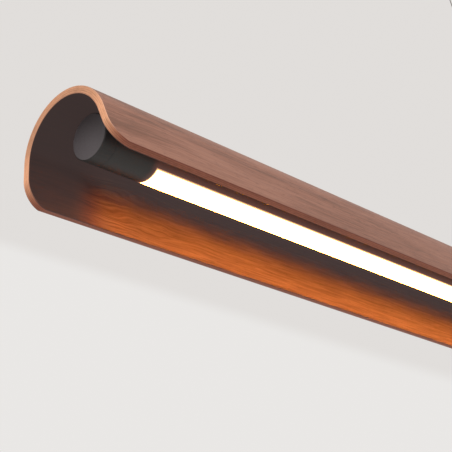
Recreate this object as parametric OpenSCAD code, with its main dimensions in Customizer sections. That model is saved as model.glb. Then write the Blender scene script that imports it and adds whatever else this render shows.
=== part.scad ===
// Linear pendant lamp. A long bent plywood arch shades a slim light tube, and two thin
// wires carry it from a narrow ceiling box. Millimetres, +Z up, +X along the lamp.
// The origin lies on the ceiling, midway between the two ceiling screws.

/* [Shade] */
// Length of the bent shade
shade_length = 1500; // [1200:10:2400]
// Outer radius of the arch
arch_radius = 36.9; // [34:0.1:50]
// Angle that each leg leans out from upright, in degrees
leg_flare = 11.6; // [6:0.1:20]
// Straight length of each leg below the arch
leg_length = 25.5; // [20:0.5:50]
// Thickness of the plywood core
core_thickness = 3.7; // [3.5:0.1:6]
// Thickness of each walnut face veneer
veneer_thickness = 0.6; // [0.4:0.1:1]
// Radius of the rounded corners where a lip meets an end
corner_radius = 16.8; // [8:0.1:24]

/* [Light tube] */
// Outer diameter of the light tube
tube_diameter = 30; // [28:0.5:34]
// Wall of the light tube
tube_wall = 1.5; // [1.2:0.1:2]
// Gap between the top of the tube and the inside of the arch
tube_gap = 2.2; // [1.5:0.1:5]
// Distance from the shade's end to the end face of the tube's cap
tube_inset = 21; // [5:0.5:60]
// Length of each end cap that shows
cap_length = 10.6; // [6:0.2:20]
// Depth of the cap's spigot inside the tube
cap_spigot = 8; // [5:0.5:12]
// Wall of the cap
cap_wall = 2; // [1.5:0.1:3]
// Distance from the shade's end to the start of the light window
window_inset = 65.6; // [60:0.2:120]
// Half of the angle that the light window spans, in degrees
window_half_angle = 37.3; // [25:0.1:45]

/* [Light engine] */
// Thickness of the opal diffuser's flanges
flange_thickness = 1.2; // [1:0.1:1.5]
// Half of the angle that the diffuser's inner flanges span, in degrees
flange_half_angle = 58; // [52:1:62]
// Height of the tray's web above the tube's axis
tray_height = 3.5; // [2.5:0.1:4]
// Thickness of the tray's web
tray_web = 2; // [1.5:0.1:2.2]
// Thickness of the tray's two legs
tray_leg = 1.4; // [1:0.1:2]
// Width of a light board
board_width = 12; // [10:0.5:16]
// Thickness of a light board
board_thickness = 1; // [0.8:0.1:1.6]
// Distance between light chips
chip_pitch = 24; // [16:1:60]
// Side of a light chip
chip_side = 3; // [2:0.1:5]
// Height of a light chip
chip_height = 0.7; // [0.4:0.1:1.2]

/* [Suspension] */
// Drop from the ceiling to the top of the shade
hang_drop = 475; // [300:5:2000]
// Distance between the two wires
wire_spacing = 303; // [260:1:600]
// Diameter of a suspension wire
wire_diameter = 1; // [0.8:0.1:1.2]
// Diameter of the ball end
ball_diameter = 5; // [4.8:0.1:6]
// Diameter of the threaded stud below the socket
stud_diameter = 6; // [5:0.5:7]
// Diameter of the socket head and of its cap
socket_diameter = 13; // [12:0.5:16]
// Diameter of the saddle on top of the shade
saddle_diameter = 20; // [16:0.5:24]
// Height of the saddle above the top of the shade
saddle_height = 2.5; // [1.5:0.1:4]
// Length of each pad between the shade and the tube
pad_length = 26; // [22:1:40]
// Width of each pad
pad_width = 14; // [12:0.5:18]
// Distance from the shade's end to an end fixing screw
fixing_inset = 130; // [100:5:200]
// Diameter of an end fixing screw
fixing_diameter = 3; // [2.5:0.1:3.2]

/* [Wire gripper] */
// Swing of the wires and of the lamp to either side, in degrees
swing_angle = 10; // [4:0.5:12]
// Diameter of the gripper's ball
gripper_ball = 15; // [14.6:0.1:16]
// Diameter of the gripper's neck
neck_diameter = 6.4; // [5:0.1:6.6]
// Diameter of the gripper's barrel
barrel_diameter = 9; // [8.4:0.1:11]
// Length of the gripper's barrel
barrel_length = 22; // [16:0.5:40]
// Length of wire that stands above the gripper's ball
wire_tail = 2; // [1:0.5:4]
// Travel of the wire through the gripper
height_travel = 20; // [10:0.5:20]
// Stroke of the release button
button_stroke = 2; // [1:0.1:3]

/* [Ceiling box] */
// Length of the ceiling box
box_length = 360; // [330:1:700]
// Width of the ceiling box
box_width = 44; // [42:0.5:70]
// Height of the ceiling box
box_height = 46; // [45:0.5:47]
// Sheet thickness of the ceiling box
box_wall = 1.2; // [0.8:0.1:1.6]
// Radius of the box's upright corners
box_corner = 6; // [4:0.5:12]
// Width of the bracket
bracket_width = 28; // [26:0.5:34]
// Sheet thickness of the bracket
bracket_thickness = 2; // [1.5:0.1:3]
// Distance between the two ceiling screws
screw_spacing = 244; // [236:1:260]
// Diameter of the ceiling screw holes
screw_hole = 4.5; // [3.5:0.1:6]
// Length of the power supply
driver_length = 140; // [100:1:160]
// Width of the power supply
driver_width = 26; // [20:0.5:30]
// Height of the power supply
driver_height = 18; // [14:0.5:24]

/* [Hidden] */
$fn = 96;
overrun = 1;
running_fit = 0.05;
close_fit = 0.02;

// Shade
shade_thickness = core_thickness + 2 * veneer_thickness;
arch_z = -hang_drop - arch_radius;
arc_half = 90 - leg_flare;
arc_steps = 32;
inner_radius = arch_radius - shade_thickness;
lip_z = arch_z + inner_radius * cos(arc_half) - leg_length * sin(arc_half);
lip_half_width = arch_radius * sin(arc_half) + leg_length * cos(arc_half);

// Light tube and what it holds
tube_r = tube_diameter / 2;
bore_r = tube_r - tube_wall;
tube_z = -hang_drop - shade_thickness - tube_gap - tube_r;
tube_length = shade_length - 2 * (tube_inset + cap_length);
window_length = shade_length - 2 * window_inset;
lens_gap = 0.15;
flange_r = bore_r - running_fit;
flange_overlap = 4;
tray_clearance = 0.3;
tray_end_gap = 1;
tray_length = tube_length - 2 * (cap_spigot + tray_end_gap);
tray_foot_z = close_fit - (flange_r - flange_thickness) * cos(flange_half_angle);
tray_leg_y = sqrt(pow(bore_r - tray_clearance, 2) - pow(tray_foot_z, 2)) - tray_leg;
tray_edge_y = sqrt(pow(bore_r - tray_clearance, 2) - pow(tray_height + tray_web, 2));
board_split = 4;
board_end_gap = 6;
board_length = (window_length - board_split) / 2 - board_end_gap;
chip_count = floor((board_length - chip_pitch / 2 - chip_side) / chip_pitch);
cap_chamfer = 0.6;

// Suspension points on the lamp
stud_r = stud_diameter / 2;
bush_wall = 0.9;
bush_flange = 1;
bush_r = stud_r + running_fit + bush_wall;
bush_hole_r = bush_r + running_fit;
saddle_r = saddle_diameter / 2;
saddle_chamfer = 0.8;
shoulder_z = -hang_drop + saddle_height + bush_flange;
socket_r = socket_diameter / 2;
socket_floor = 2.5;
socket_wall = 1.5;
ball_r = ball_diameter / 2;
ball_lift = 0.5;
ball_z = shoulder_z + socket_floor + ball_lift + ball_r;
socket_bore = socket_r - socket_wall;
socket_rim_z = ball_z + ball_r;
cap_flange = 2.5;
cap_edge = 0.8;
tilt_spare = 4;
tilt_room = swing_angle + tilt_spare;
neck_r = 0.9;
neck_reach = 1.5;
throat_r = 1.45;
throat_z = sqrt(pow(ball_r, 2) - pow(throat_r, 2));
mouth_r = throat_r - throat_z * tan(tilt_room);
wire_r = wire_diameter / 2;
washer_r = 5.5;
washer_thickness = 1.4;
tag_thickness = 0.4;
tag_width = 4;
tag_reach = 9;
tag_slot_gap = 0.6;
nut_flats = 10;
nut_height = 2.5;
stud_end = 0.6;
washer_top_z = tube_z + sqrt(pow(bore_r, 2) - pow(washer_r, 2));
washer_z = washer_top_z - washer_thickness;
tag_z = washer_z - tag_thickness;
nut_z = tag_z - nut_height;

// End fixings
fixing_r = fixing_diameter / 2;
fixing_clear = 0.1;
insert_wall = 1.1;
insert_r = fixing_r + close_fit + insert_wall;
insert_height = 3.4;
insert_base_z = -hang_drop - shade_thickness;
head_r = 2.9;
head_height = 2;
head_top_z = tube_z + sqrt(pow(bore_r, 2) - pow(head_r, 2));
hang_x = wire_spacing / 2;
fixing_x = shade_length / 2 - fixing_inset;

// Wire grippers
gripper_r = gripper_ball / 2;
tail_room = 2.5;
wire_top_z = -bracket_thickness - tail_room - height_travel;
gripper_z = wire_top_z - wire_tail - gripper_r;
seat_play = 0.03;
wire_bore = wire_r + 0.08;
neck_room = 2;
barrel_top_z = -box_height - neck_room;
barrel_z = barrel_top_z - barrel_length;
button_r = 2.2;
button_stem = 8;
button_flange_r = 3.6;
button_flange = 2.5;
barrel_chamfer = 0.8;
plate_drop = 3.5;
plate_thickness = 2;
seat_flange = 1.5;
seat_r = 8;
seat_flange_r = 10;
box_hole_room = 1;
box_hole_r = neck_diameter / 2 / cos(swing_angle)
    + (gripper_z + box_height) * tan(swing_angle) + box_hole_room;

// Ceiling box
end_gap = 0.3;
bracket_length = box_length - 2 * (box_wall + end_gap);
tab_height = 14;
cover_screw_z = -10;
cover_screw_r = 2;
cover_head_r = 3.5;
cover_head = 2.5;
cover_reach = 2;
hanger_length = 24;
hanger_inside = 24;
supply_hole_r = 6;
supply_hole_x = 104;
driver_x = -20;
driver_flange = 8;
driver_flange_height = 3;
driver_corner = 2;
terminal_x = 78;
terminal_length = 20;
terminal_width = 18;
terminal_height = 12;
terminal_ports = 3;
terminal_port_r = 1.6;
terminal_screw_depth = 2;

// A flat outline in the plane across the lamp, drawn out along X about the middle
module along_x(length) {
    translate([-length / 2, 0, 0])
        rotate([90, 0, 90]) linear_extrude(height = length) children();
}

// The arch's line at radius r, from the start of one leg to the start of the other
function arc_line(r) = [for (i = [-arc_steps : arc_steps])
    r * [sin(arc_half * i / arc_steps), cos(arc_half * i / arc_steps)]];

// Where a leg's face at radius r ends, on one side
function leg_end(r, side) = [side * (r * sin(arc_half) + leg_length * cos(arc_half)),
    r * cos(arc_half) - leg_length * sin(arc_half)];

// One layer of the bent shade: an arc whose two ends run on as straight legs
module arch_layer(r, thickness) {
    inner = r - thickness;
    back = arc_line(inner);
    polygon(concat([leg_end(r, -1)], arc_line(r), [leg_end(r, 1), leg_end(inner, 1)],
        [for (i = [len(back) - 1 : -1 : 0]) back[i]], [leg_end(inner, -1)]));
}

// Side outline of the shade with its four lip corners rounded
module end_outline() {
    height = -lip_z - hang_drop + overrun;
    half = shade_length / 2;
    translate([-half, lip_z + corner_radius])
        square([shade_length, height - corner_radius]);
    translate([-half + corner_radius, lip_z])
        square([shade_length - 2 * corner_radius, height]);
    for (side = [-1, 1])
        translate([side * (half - corner_radius), lip_z + corner_radius])
            circle(r = corner_radius);
}

module end_trim() {
    reach = lip_half_width + overrun;
    translate([0, reach, 0])
        rotate([90, 0, 0]) linear_extrude(height = 2 * reach) end_outline();
}

// Upright holes for the two sockets and blind holes for the two threaded inserts
module shade_holes() {
    for (side = [-1, 1]) {
        translate([side * hang_x, 0, insert_base_z - overrun])
            cylinder(r = bush_hole_r, h = shade_thickness + 2 * overrun);
        translate([side * fixing_x, 0, insert_base_z - overrun])
            cylinder(r = insert_r + close_fit, h = insert_height + overrun);
    }
}

module shade_layer(r, thickness) {
    difference() {
        intersection() {
            translate([0, 0, arch_z]) along_x(shade_length) arch_layer(r, thickness);
            end_trim();
        }
        shade_holes();
    }
}

module shade_core() {
    color("burlywood") shade_layer(arch_radius - veneer_thickness, core_thickness);
}

module veneer_outer() {
    color("saddlebrown") shade_layer(arch_radius, veneer_thickness);
}

module veneer_inner() {
    color("sienna") shade_layer(inner_radius + veneer_thickness, veneer_thickness);
}

// Ring sector about straight down, from the inner to the outer radius
module ring_sector(inner, outer, half_angle) {
    reach = outer / cos(half_angle) + overrun;
    intersection() {
        difference() {
            circle(r = outer);
            circle(r = inner);
        }
        polygon([[0, 0], [-reach * sin(half_angle), -reach * cos(half_angle)],
            [reach * sin(half_angle), -reach * cos(half_angle)]]);
    }
}

module light_tube() {
    color("#26221f") difference() {
        translate([0, 0, tube_z]) along_x(tube_length) difference() {
            circle(r = tube_r);
            circle(r = bore_r);
        }
        translate([0, 0, tube_z]) along_x(window_length)
            ring_sector(bore_r - overrun, tube_r + overrun, window_half_angle);
        for (side = [-1, 1]) {
            translate([side * hang_x, 0, tube_z]) cylinder(r = bush_hole_r, h = tube_diameter);
            translate([side * fixing_x, 0, tube_z])
                cylinder(r = fixing_r + fixing_clear, h = tube_diameter);
        }
    }
}

// Turned cap: a disc, a skirt that runs on from the tube and a hollow spigot inside it
module end_cap(side) {
    color("#3f3b39") translate([side * tube_length / 2, 0, tube_z])
        rotate([0, side * 90, 0]) rotate_extrude() polygon([
            [0, cap_length], [tube_r - cap_chamfer, cap_length],
            [tube_r, cap_length - cap_chamfer], [tube_r, 0],
            [bore_r - close_fit, 0], [bore_r - close_fit, -cap_spigot],
            [bore_r - close_fit - cap_wall, -cap_spigot],
            [bore_r - close_fit - cap_wall, cap_length - cap_wall],
            [0, cap_length - cap_wall]]);
}
module end_cap_near() { end_cap(-1); }
module end_cap_far() { end_cap(1); }

// Opal lens that lies flush in the window and is held by two flanges inside the tube
module diffuser() {
    lens_angle = window_half_angle - lens_gap / tube_r * 180 / PI;
    color("white") translate([0, 0, tube_z]) union() {
        along_x(window_length - 2 * lens_gap)
            ring_sector(flange_r - flange_thickness, tube_r, lens_angle);
        along_x(window_length + 2 * flange_overlap)
            ring_sector(flange_r - flange_thickness, flange_r, flange_half_angle);
    }
}

// Heat tray: a flat web above the boards and two legs that press on the diffuser
module led_tray() {
    color("silver") difference() {
        translate([0, 0, tube_z]) union() {
            along_x(tray_length)
                translate([-tray_edge_y, tray_height]) square([2 * tray_edge_y, tray_web]);
            for (side = [-1, 1])
                along_x(tray_length)
                    translate([side * (tray_leg_y + tray_leg / 2) - tray_leg / 2, tray_foot_z])
                        square([tray_leg, tray_height + tray_web / 2 - tray_foot_z]);
        }
        for (side = [-1, 1])
            translate([side * (hang_x - tag_reach) - tag_thickness / 2 - tag_slot_gap,
                -tag_width / 2 - tag_slot_gap, tube_z + tray_height - overrun])
                cube([tag_thickness + 2 * tag_slot_gap, tag_width + 2 * tag_slot_gap,
                    tray_web + 2 * overrun]);
    }
}

// Light board under the tray's web, on one side of the lamp's middle
module led_board(side) {
    x = side * (board_split / 2 + board_length / 2);
    color("ivory") translate([x, 0, tube_z + tray_height - board_thickness / 2])
        cube([board_length, board_width, board_thickness], center = true);
}
module led_board_near() { led_board(-1); }
module led_board_far() { led_board(1); }

module led_chips(side) {
    chip_z = tube_z + tray_height - board_thickness - chip_height / 2;
    color("khaki") for (i = [0 : chip_count])
        translate([side * (board_split / 2 + chip_pitch / 2 + i * chip_pitch), 0, chip_z])
            cube([chip_side, chip_side, chip_height], center = true);
}
module led_chips_near() { led_chips(-1); }
module led_chips_far() { led_chips(1); }

// Pad whose top follows the inside of the arch and whose underside follows the tube
module pad(x, hole_r) {
    color("#2b2826") difference() {
        translate([x, 0, 0]) along_x(pad_length) difference() {
            intersection() {
                translate([0, arch_z]) circle(r = inner_radius * cos(arc_half / arc_steps / 2));
                translate([-pad_width / 2, tube_z])
                    square([pad_width, tube_r + shade_thickness + tube_gap]);
            }
            translate([0, tube_z]) circle(r = tube_r);
        }
        translate([x, 0, tube_z]) cylinder(r = hole_r, h = tube_diameter + tube_gap);
    }
}
module hang_pad_near() { pad(-hang_x, bush_hole_r); }
module hang_pad_far() { pad(hang_x, bush_hole_r); }
module end_pad_near() { pad(-fixing_x, fixing_r + fixing_clear); }
module end_pad_far() { pad(fixing_x, fixing_r + fixing_clear); }

module insert(side) {
    color("goldenrod") translate([side * fixing_x, 0, insert_base_z]) difference() {
        cylinder(r = insert_r, h = insert_height);
        translate([0, 0, -overrun])
            cylinder(r = fixing_r + close_fit, h = insert_height + 2 * overrun);
    }
}
module insert_near() { insert(-1); }
module insert_far() { insert(1); }

// Screw from inside the tube up through the pad into the threaded insert
module fixing_screw(side) {
    tip_z = insert_base_z + insert_height - close_fit;
    color("dimgray") translate([side * fixing_x, 0, 0]) union() {
        translate([0, 0, head_top_z - head_height]) cylinder(r = head_r, h = head_height);
        translate([0, 0, head_top_z - head_height])
            cylinder(r = fixing_r, h = tip_z - head_top_z + head_height);
    }
}
module fixing_screw_near() { fixing_screw(-1); }
module fixing_screw_far() { fixing_screw(1); }

// Insulating bush through saddle, shade, pad and tube
module bush(side) {
    sleeve_z = tube_z + bore_r;
    color("whitesmoke") translate([side * hang_x, 0, 0]) difference() {
        union() {
            translate([0, 0, sleeve_z])
                cylinder(r = bush_r, h = shoulder_z - sleeve_z - bush_flange / 2);
            translate([0, 0, shoulder_z - bush_flange])
                cylinder(r = socket_r, h = bush_flange);
        }
        translate([0, 0, sleeve_z - overrun])
            cylinder(r = stud_r + running_fit, h = shoulder_z - sleeve_z + 2 * overrun);
    }
}
module bush_near() { bush(-1); }
module bush_far() { bush(1); }

// Round saddle whose underside follows the top of the arch
module saddle(side) {
    top_z = -hang_drop + saddle_height;
    low_z = arch_z + sqrt(pow(arch_radius, 2) - pow(saddle_r, 2));
    color("#2b2826") translate([side * hang_x, 0, 0]) difference() {
        rotate_extrude() polygon([
            [bush_hole_r, low_z], [saddle_r, low_z], [saddle_r, top_z - saddle_chamfer],
            [saddle_r - saddle_chamfer, top_z], [bush_hole_r, top_z]]);
        translate([0, 0, arch_z])
            along_x(saddle_diameter + 2 * overrun) circle(r = arch_radius);
    }
}
module saddle_near() { saddle(-1); }
module saddle_far() { saddle(1); }

// Socket: a cup that holds the ball end, on a threaded stud
module socket(side) {
    color("#2b2826") translate([side * hang_x, 0, 0]) rotate_extrude() polygon([
        [0, nut_z - stud_end], [stud_r, nut_z - stud_end], [stud_r, shoulder_z],
        [socket_r, shoulder_z], [socket_r, socket_rim_z], [socket_bore, socket_rim_z],
        [socket_bore, shoulder_z + socket_floor], [0, shoulder_z + socket_floor]]);
}
module socket_near() { socket(-1); }
module socket_far() { socket(1); }

// Cap with a round seat above the ball and a flared mouth that lets the wire lean
module socket_cap(side) {
    plug_r = socket_bore - close_fit;
    plug_z = ball_z + ball_lift;
    top_z = socket_rim_z + cap_flange;
    mouth_height = top_z - ball_z + overrun;
    color("#2b2826") translate([side * hang_x, 0, 0]) difference() {
        rotate_extrude() polygon([
            [0, plug_z], [plug_r, plug_z], [plug_r, socket_rim_z],
            [socket_r, socket_rim_z], [socket_r, top_z - cap_edge],
            [socket_r - cap_edge, top_z], [0, top_z]]);
        translate([0, 0, ball_z]) sphere(r = ball_r + seat_play);
        translate([0, 0, ball_z])
            cylinder(r1 = mouth_r, r2 = mouth_r + mouth_height * tan(tilt_room),
                h = mouth_height);
    }
}
module socket_cap_near() { socket_cap(-1); }
module socket_cap_far() { socket_cap(1); }

// Insulating washer whose top follows the inside of the tube
module nut_washer(side) {
    color("whitesmoke") translate([side * hang_x, 0, 0]) difference() {
        intersection() {
            translate([0, 0, washer_z]) cylinder(r = washer_r, h = tube_diameter);
            translate([0, 0, tube_z]) along_x(2 * washer_r + overrun) circle(r = bore_r);
        }
        translate([0, 0, washer_z - overrun])
            cylinder(r = stud_r + running_fit, h = tube_diameter);
    }
}
module nut_washer_near() { nut_washer(-1); }
module nut_washer_far() { nut_washer(1); }

module lock_nut(side) {
    corner = nut_flats / 2 / cos(30);
    color("goldenrod") translate([side * hang_x, 0, nut_z]) difference() {
        linear_extrude(height = nut_height)
            polygon([for (i = [0 : 5]) corner * [cos(60 * i), sin(60 * i)]]);
        translate([0, 0, -overrun])
            cylinder(r = stud_r + close_fit, h = nut_height + 2 * overrun);
    }
}
module lock_nut_near() { lock_nut(-1); }
module lock_nut_far() { lock_nut(1); }

// Copper tag that takes the current from the stud down to the light board
module contact_tag(side) {
    strip_x = tag_reach - tag_thickness / 2;
    color("peru") translate([side * hang_x, 0, 0]) mirror([side > 0 ? 1 : 0, 0, 0]) difference() {
        union() {
            translate([0, 0, tag_z]) cylinder(r = washer_r - tag_thickness, h = tag_thickness);
            translate([0, -tag_width / 2, tag_z])
                cube([strip_x + tag_thickness, tag_width, tag_thickness]);
            translate([strip_x, -tag_width / 2, tube_z + tray_height])
                cube([tag_thickness, tag_width, tag_z - tube_z - tray_height + tag_thickness]);
        }
        translate([0, 0, tag_z - overrun])
            cylinder(r = stud_r + running_fit, h = tag_thickness + 2 * overrun);
    }
}
module contact_tag_near() { contact_tag(-1); }
module contact_tag_far() { contact_tag(1); }

// Ball with a short neck, pressed onto the wire's lower end
module ball_end(side) {
    color("silver") translate([side * hang_x, 0, ball_z]) difference() {
        union() {
            sphere(r = ball_r);
            cylinder(r = neck_r, h = ball_r + neck_reach);
        }
        cylinder(r = wire_r + close_fit, h = ball_r + neck_reach + overrun);
    }
}
module ball_end_near() { ball_end(-1); }
module ball_end_far() { ball_end(1); }

module wire(side) {
    color("gray") translate([side * hang_x, 0, ball_z])
        cylinder(r = wire_r, h = wire_top_z - ball_z);
}
module wire_near() { wire(-1); }
module wire_far() { wire(1); }

// Gripper: a ball that swings in the bracket's seat, a neck, and a barrel under the box
module gripper(side) {
    room = button_stem + running_fit;
    color("silver") translate([side * hang_x, 0, 0]) difference() {
        union() {
            translate([0, 0, gripper_z]) sphere(r = gripper_r);
            translate([0, 0, barrel_top_z - barrel_chamfer])
                cylinder(r = neck_diameter / 2, h = gripper_z - barrel_top_z + barrel_chamfer);
            rotate_extrude() polygon([
                [0, barrel_z], [barrel_diameter / 2 - barrel_chamfer, barrel_z],
                [barrel_diameter / 2, barrel_z + barrel_chamfer],
                [barrel_diameter / 2, barrel_top_z - barrel_chamfer],
                [barrel_diameter / 2 - barrel_chamfer, barrel_top_z], [0, barrel_top_z]]);
        }
        translate([0, 0, barrel_z - overrun])
            cylinder(r = wire_bore, h = gripper_z + gripper_r - barrel_z + 2 * overrun);
        translate([0, 0, barrel_z - overrun])
            cylinder(r = button_r + running_fit, h = room + overrun);
    }
}
module gripper_near() { gripper(-1); }
module gripper_far() { gripper(1); }

// Release button: pushed up into the barrel, it frees the wire
module release_button(side) {
    flange_z = barrel_z - button_stroke - button_flange;
    color("silver") translate([side * hang_x, 0, 0]) difference() {
        rotate_extrude() polygon([
            [0, flange_z], [button_flange_r - barrel_chamfer, flange_z],
            [button_flange_r, flange_z + barrel_chamfer],
            [button_flange_r, flange_z + button_flange],
            [button_r, flange_z + button_flange],
            [button_r, barrel_z + button_stem - button_stroke],
            [0, barrel_z + button_stem - button_stroke]]);
        translate([0, 0, flange_z - overrun])
            cylinder(r = wire_bore, h = button_stem + button_flange + 2 * overrun);
    }
}
module release_button_near() { release_button(-1); }
module release_button_far() { release_button(1); }

// Insulating seat for the gripper's ball, dropped into the hanger's plate
module seat_bush(side) {
    plate_z = gripper_z - plate_drop;
    color("whitesmoke") translate([side * hang_x, 0, 0]) difference() {
        rotate_extrude() polygon([
            [0, plate_z - plate_thickness], [seat_r, plate_z - plate_thickness],
            [seat_r, plate_z], [seat_flange_r, plate_z],
            [seat_flange_r, plate_z + seat_flange], [0, plate_z + seat_flange]]);
        translate([0, 0, gripper_z]) sphere(r = gripper_r + seat_play);
    }
}
module seat_bush_near() { seat_bush(-1); }
module seat_bush_far() { seat_bush(1); }

// Hanger under the bracket: two straps and a plate with a hole for the seat bush
module hanger(side) {
    plate_z = gripper_z - plate_drop;
    half = hanger_inside / 2;
    translate([side * hang_x - hanger_length / 2, 0, 0]) difference() {
        union() {
            for (edge = [-1, 1])
                translate([0, edge * (half + bracket_thickness / 2) - bracket_thickness / 2,
                    plate_z - plate_thickness])
                    cube([hanger_length, bracket_thickness,
                        plate_thickness - plate_z - bracket_thickness / 2]);
            translate([0, -half - bracket_thickness / 2, plate_z - plate_thickness])
                cube([hanger_length, hanger_inside + bracket_thickness, plate_thickness]);
        }
        translate([hanger_length / 2, 0, plate_z - plate_thickness - overrun])
            cylinder(r = seat_r + close_fit, h = plate_thickness + 2 * overrun);
    }
}

module bracket() {
    color("lightgray") difference() {
        union() {
            translate([-bracket_length / 2, -bracket_width / 2, -bracket_thickness])
                cube([bracket_length, bracket_width, bracket_thickness]);
            for (side = [-1, 1]) {
                translate([side * (bracket_length - bracket_thickness) / 2
                    - bracket_thickness / 2, -bracket_width / 2, -tab_height])
                    cube([bracket_thickness, bracket_width, tab_height]);
                hanger(side);
            }
        }
        for (side = [-1, 1]) {
            translate([side * screw_spacing / 2, 0, -bracket_thickness - overrun])
                cylinder(r = screw_hole / 2, h = bracket_thickness + 2 * overrun);
            translate([side * bracket_length / 2, 0, cover_screw_z]) rotate([0, 90, 0])
                cylinder(r = cover_screw_r + close_fit,
                    h = 2 * (bracket_thickness + overrun), center = true);
        }
        translate([supply_hole_x, 0, -bracket_thickness - overrun])
            cylinder(r = supply_hole_r, h = bracket_thickness + 2 * overrun);
    }
}

// Rectangle with round corners about the origin
module round_outline(length, width, radius) {
    union() {
        square([length - 2 * radius, width], center = true);
        square([length, width - 2 * radius], center = true);
        for (x = [-1, 1], y = [-1, 1])
            translate([x * (length / 2 - radius), y * (width / 2 - radius)])
                circle(r = radius);
    }
}

module ceiling_box() {
    color("#2b2826") difference() {
        translate([0, 0, -box_height]) linear_extrude(height = box_height)
            round_outline(box_length, box_width, box_corner);
        translate([0, 0, box_wall - box_height]) linear_extrude(height = box_height)
            round_outline(box_length - 2 * box_wall, box_width - 2 * box_wall,
                box_corner - box_wall);
        for (side = [-1, 1]) {
            translate([side * hang_x, 0, -box_height - overrun])
                cylinder(r = box_hole_r, h = box_wall + 2 * overrun);
            translate([side * box_length / 2, 0, cover_screw_z]) rotate([0, 90, 0])
                cylinder(r = cover_screw_r + fixing_clear,
                    h = 2 * (box_wall + overrun), center = true);
        }
    }
}

// Power supply: a rounded case between two fixing flanges
module driver() {
    color("whitesmoke") translate([driver_x, 0, -bracket_thickness]) union() {
        translate([0, 0, -driver_height]) linear_extrude(height = driver_height)
            round_outline(driver_length - 2 * driver_flange, driver_width, driver_corner);
        translate([0, 0, -driver_flange_height]) linear_extrude(height = driver_flange_height)
            round_outline(driver_length, driver_width, driver_corner);
    }
}

module terminal_block() {
    pitch = terminal_width / terminal_ports;
    color("whitesmoke") translate([terminal_x, 0, -bracket_thickness - terminal_height])
        difference() {
            translate([-terminal_length / 2, -terminal_width / 2, 0])
                cube([terminal_length, terminal_width, terminal_height]);
            for (i = [0 : terminal_ports - 1]) {
                y = (i - (terminal_ports - 1) / 2) * pitch;
                translate([-terminal_length / 2 - overrun, y, terminal_height / 2])
                    rotate([0, 90, 0])
                        cylinder(r = terminal_port_r, h = terminal_length + 2 * overrun);
                translate([0, y, -overrun])
                    cylinder(r = terminal_port_r, h = terminal_screw_depth + overrun);
            }
        }
}

// Screw through the box's end wall into the bracket's tab
module cover_screw(side) {
    reach = box_wall + end_gap + bracket_thickness + cover_reach;
    color("#2b2826") translate([side * box_length / 2, 0, cover_screw_z])
        rotate([0, side * 90, 0]) union() {
            cylinder(r = cover_head_r, h = cover_head);
            translate([0, 0, -reach]) cylinder(r = cover_screw_r, h = reach + cover_head / 2);
        }
}
module cover_screw_near() { cover_screw(-1); }
module cover_screw_far() { cover_screw(1); }

shade_core();
veneer_outer();
veneer_inner();
light_tube();
end_cap_near();
end_cap_far();
diffuser();
led_tray();
led_board_near();
led_board_far();
led_chips_near();
led_chips_far();
hang_pad_near();
hang_pad_far();
end_pad_near();
end_pad_far();
insert_near();
insert_far();
fixing_screw_near();
fixing_screw_far();
bush_near();
bush_far();
saddle_near();
saddle_far();
socket_near();
socket_far();
socket_cap_near();
socket_cap_far();
nut_washer_near();
nut_washer_far();
lock_nut_near();
lock_nut_far();
contact_tag_near();
contact_tag_far();
ball_end_near();
ball_end_far();
wire_near();
wire_far();
gripper_near();
gripper_far();
release_button_near();
release_button_far();
seat_bush_near();
seat_bush_far();
bracket();
ceiling_box();
driver();
terminal_block();
cover_screw_near();
cover_screw_far();
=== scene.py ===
"""Looks of a linear pendant lamp: bent walnut shade, black light tube, wires and ceiling box."""

import logging
import math
from collections.abc import Callable, Iterable, Sequence
from dataclasses import dataclass, field
from enum import Enum

import bmesh
import bpy
from mathutils import Euler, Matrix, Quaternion, Vector


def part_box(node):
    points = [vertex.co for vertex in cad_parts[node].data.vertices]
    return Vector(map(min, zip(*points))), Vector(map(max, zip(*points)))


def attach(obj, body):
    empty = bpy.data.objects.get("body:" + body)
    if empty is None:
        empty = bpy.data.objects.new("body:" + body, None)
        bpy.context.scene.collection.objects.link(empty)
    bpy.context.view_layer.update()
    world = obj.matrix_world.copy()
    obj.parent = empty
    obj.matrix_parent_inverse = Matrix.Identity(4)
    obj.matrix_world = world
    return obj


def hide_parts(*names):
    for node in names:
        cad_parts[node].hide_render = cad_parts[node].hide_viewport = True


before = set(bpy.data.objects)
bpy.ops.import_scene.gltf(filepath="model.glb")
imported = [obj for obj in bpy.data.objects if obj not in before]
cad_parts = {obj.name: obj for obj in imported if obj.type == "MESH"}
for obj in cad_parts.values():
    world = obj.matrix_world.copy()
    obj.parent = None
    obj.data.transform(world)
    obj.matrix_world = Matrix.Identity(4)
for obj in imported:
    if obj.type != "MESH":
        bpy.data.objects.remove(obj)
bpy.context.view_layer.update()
LOG = logging.getLogger("pendant_lamp")

Triple = tuple[float, float, float]
Colour = Triple
Span = tuple[float, float]
Profile = Sequence[tuple[float, float]]
Socket = bpy.types.NodeSocket

MM = 0.001
GRAIN = "grain"
UPRIGHT = Vector((0, 0, 1))
SHARP_ANGLE = math.radians(16)
SQUARE_EDGE = math.radians(60)
TOUCHING = 0.001 * MM
SIDE_SHARE = 0.45
SLIGHT_TURN = math.radians(20)
SLIGHT_REACH = 0.01 * MM
HEXAGON_HALF_SIDE = math.pi / 6
EVEN: Triple = (1, 1, 1)
WHITE: Colour = (1, 1, 1)
NOISE_RANGE: Span = (0.3, 0.7)
CLOUD_RANGE: Span = (0.35, 0.65)
FINE_RELIEF = 0.35


class End(Enum):
    """The lamp's two ends, with the sign of X on each."""

    NEAR = -1
    FAR = 1

    @property
    def word(self) -> str:
        """The end's name as the nodes carry it."""
        return self.name.lower()


class Body(Enum):
    """The bodies that the pieces ride on."""

    CEILING = "ceiling"
    GRIPPERS = "grippers"
    WIRES = "wires"
    LAMP = "lamp"


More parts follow.
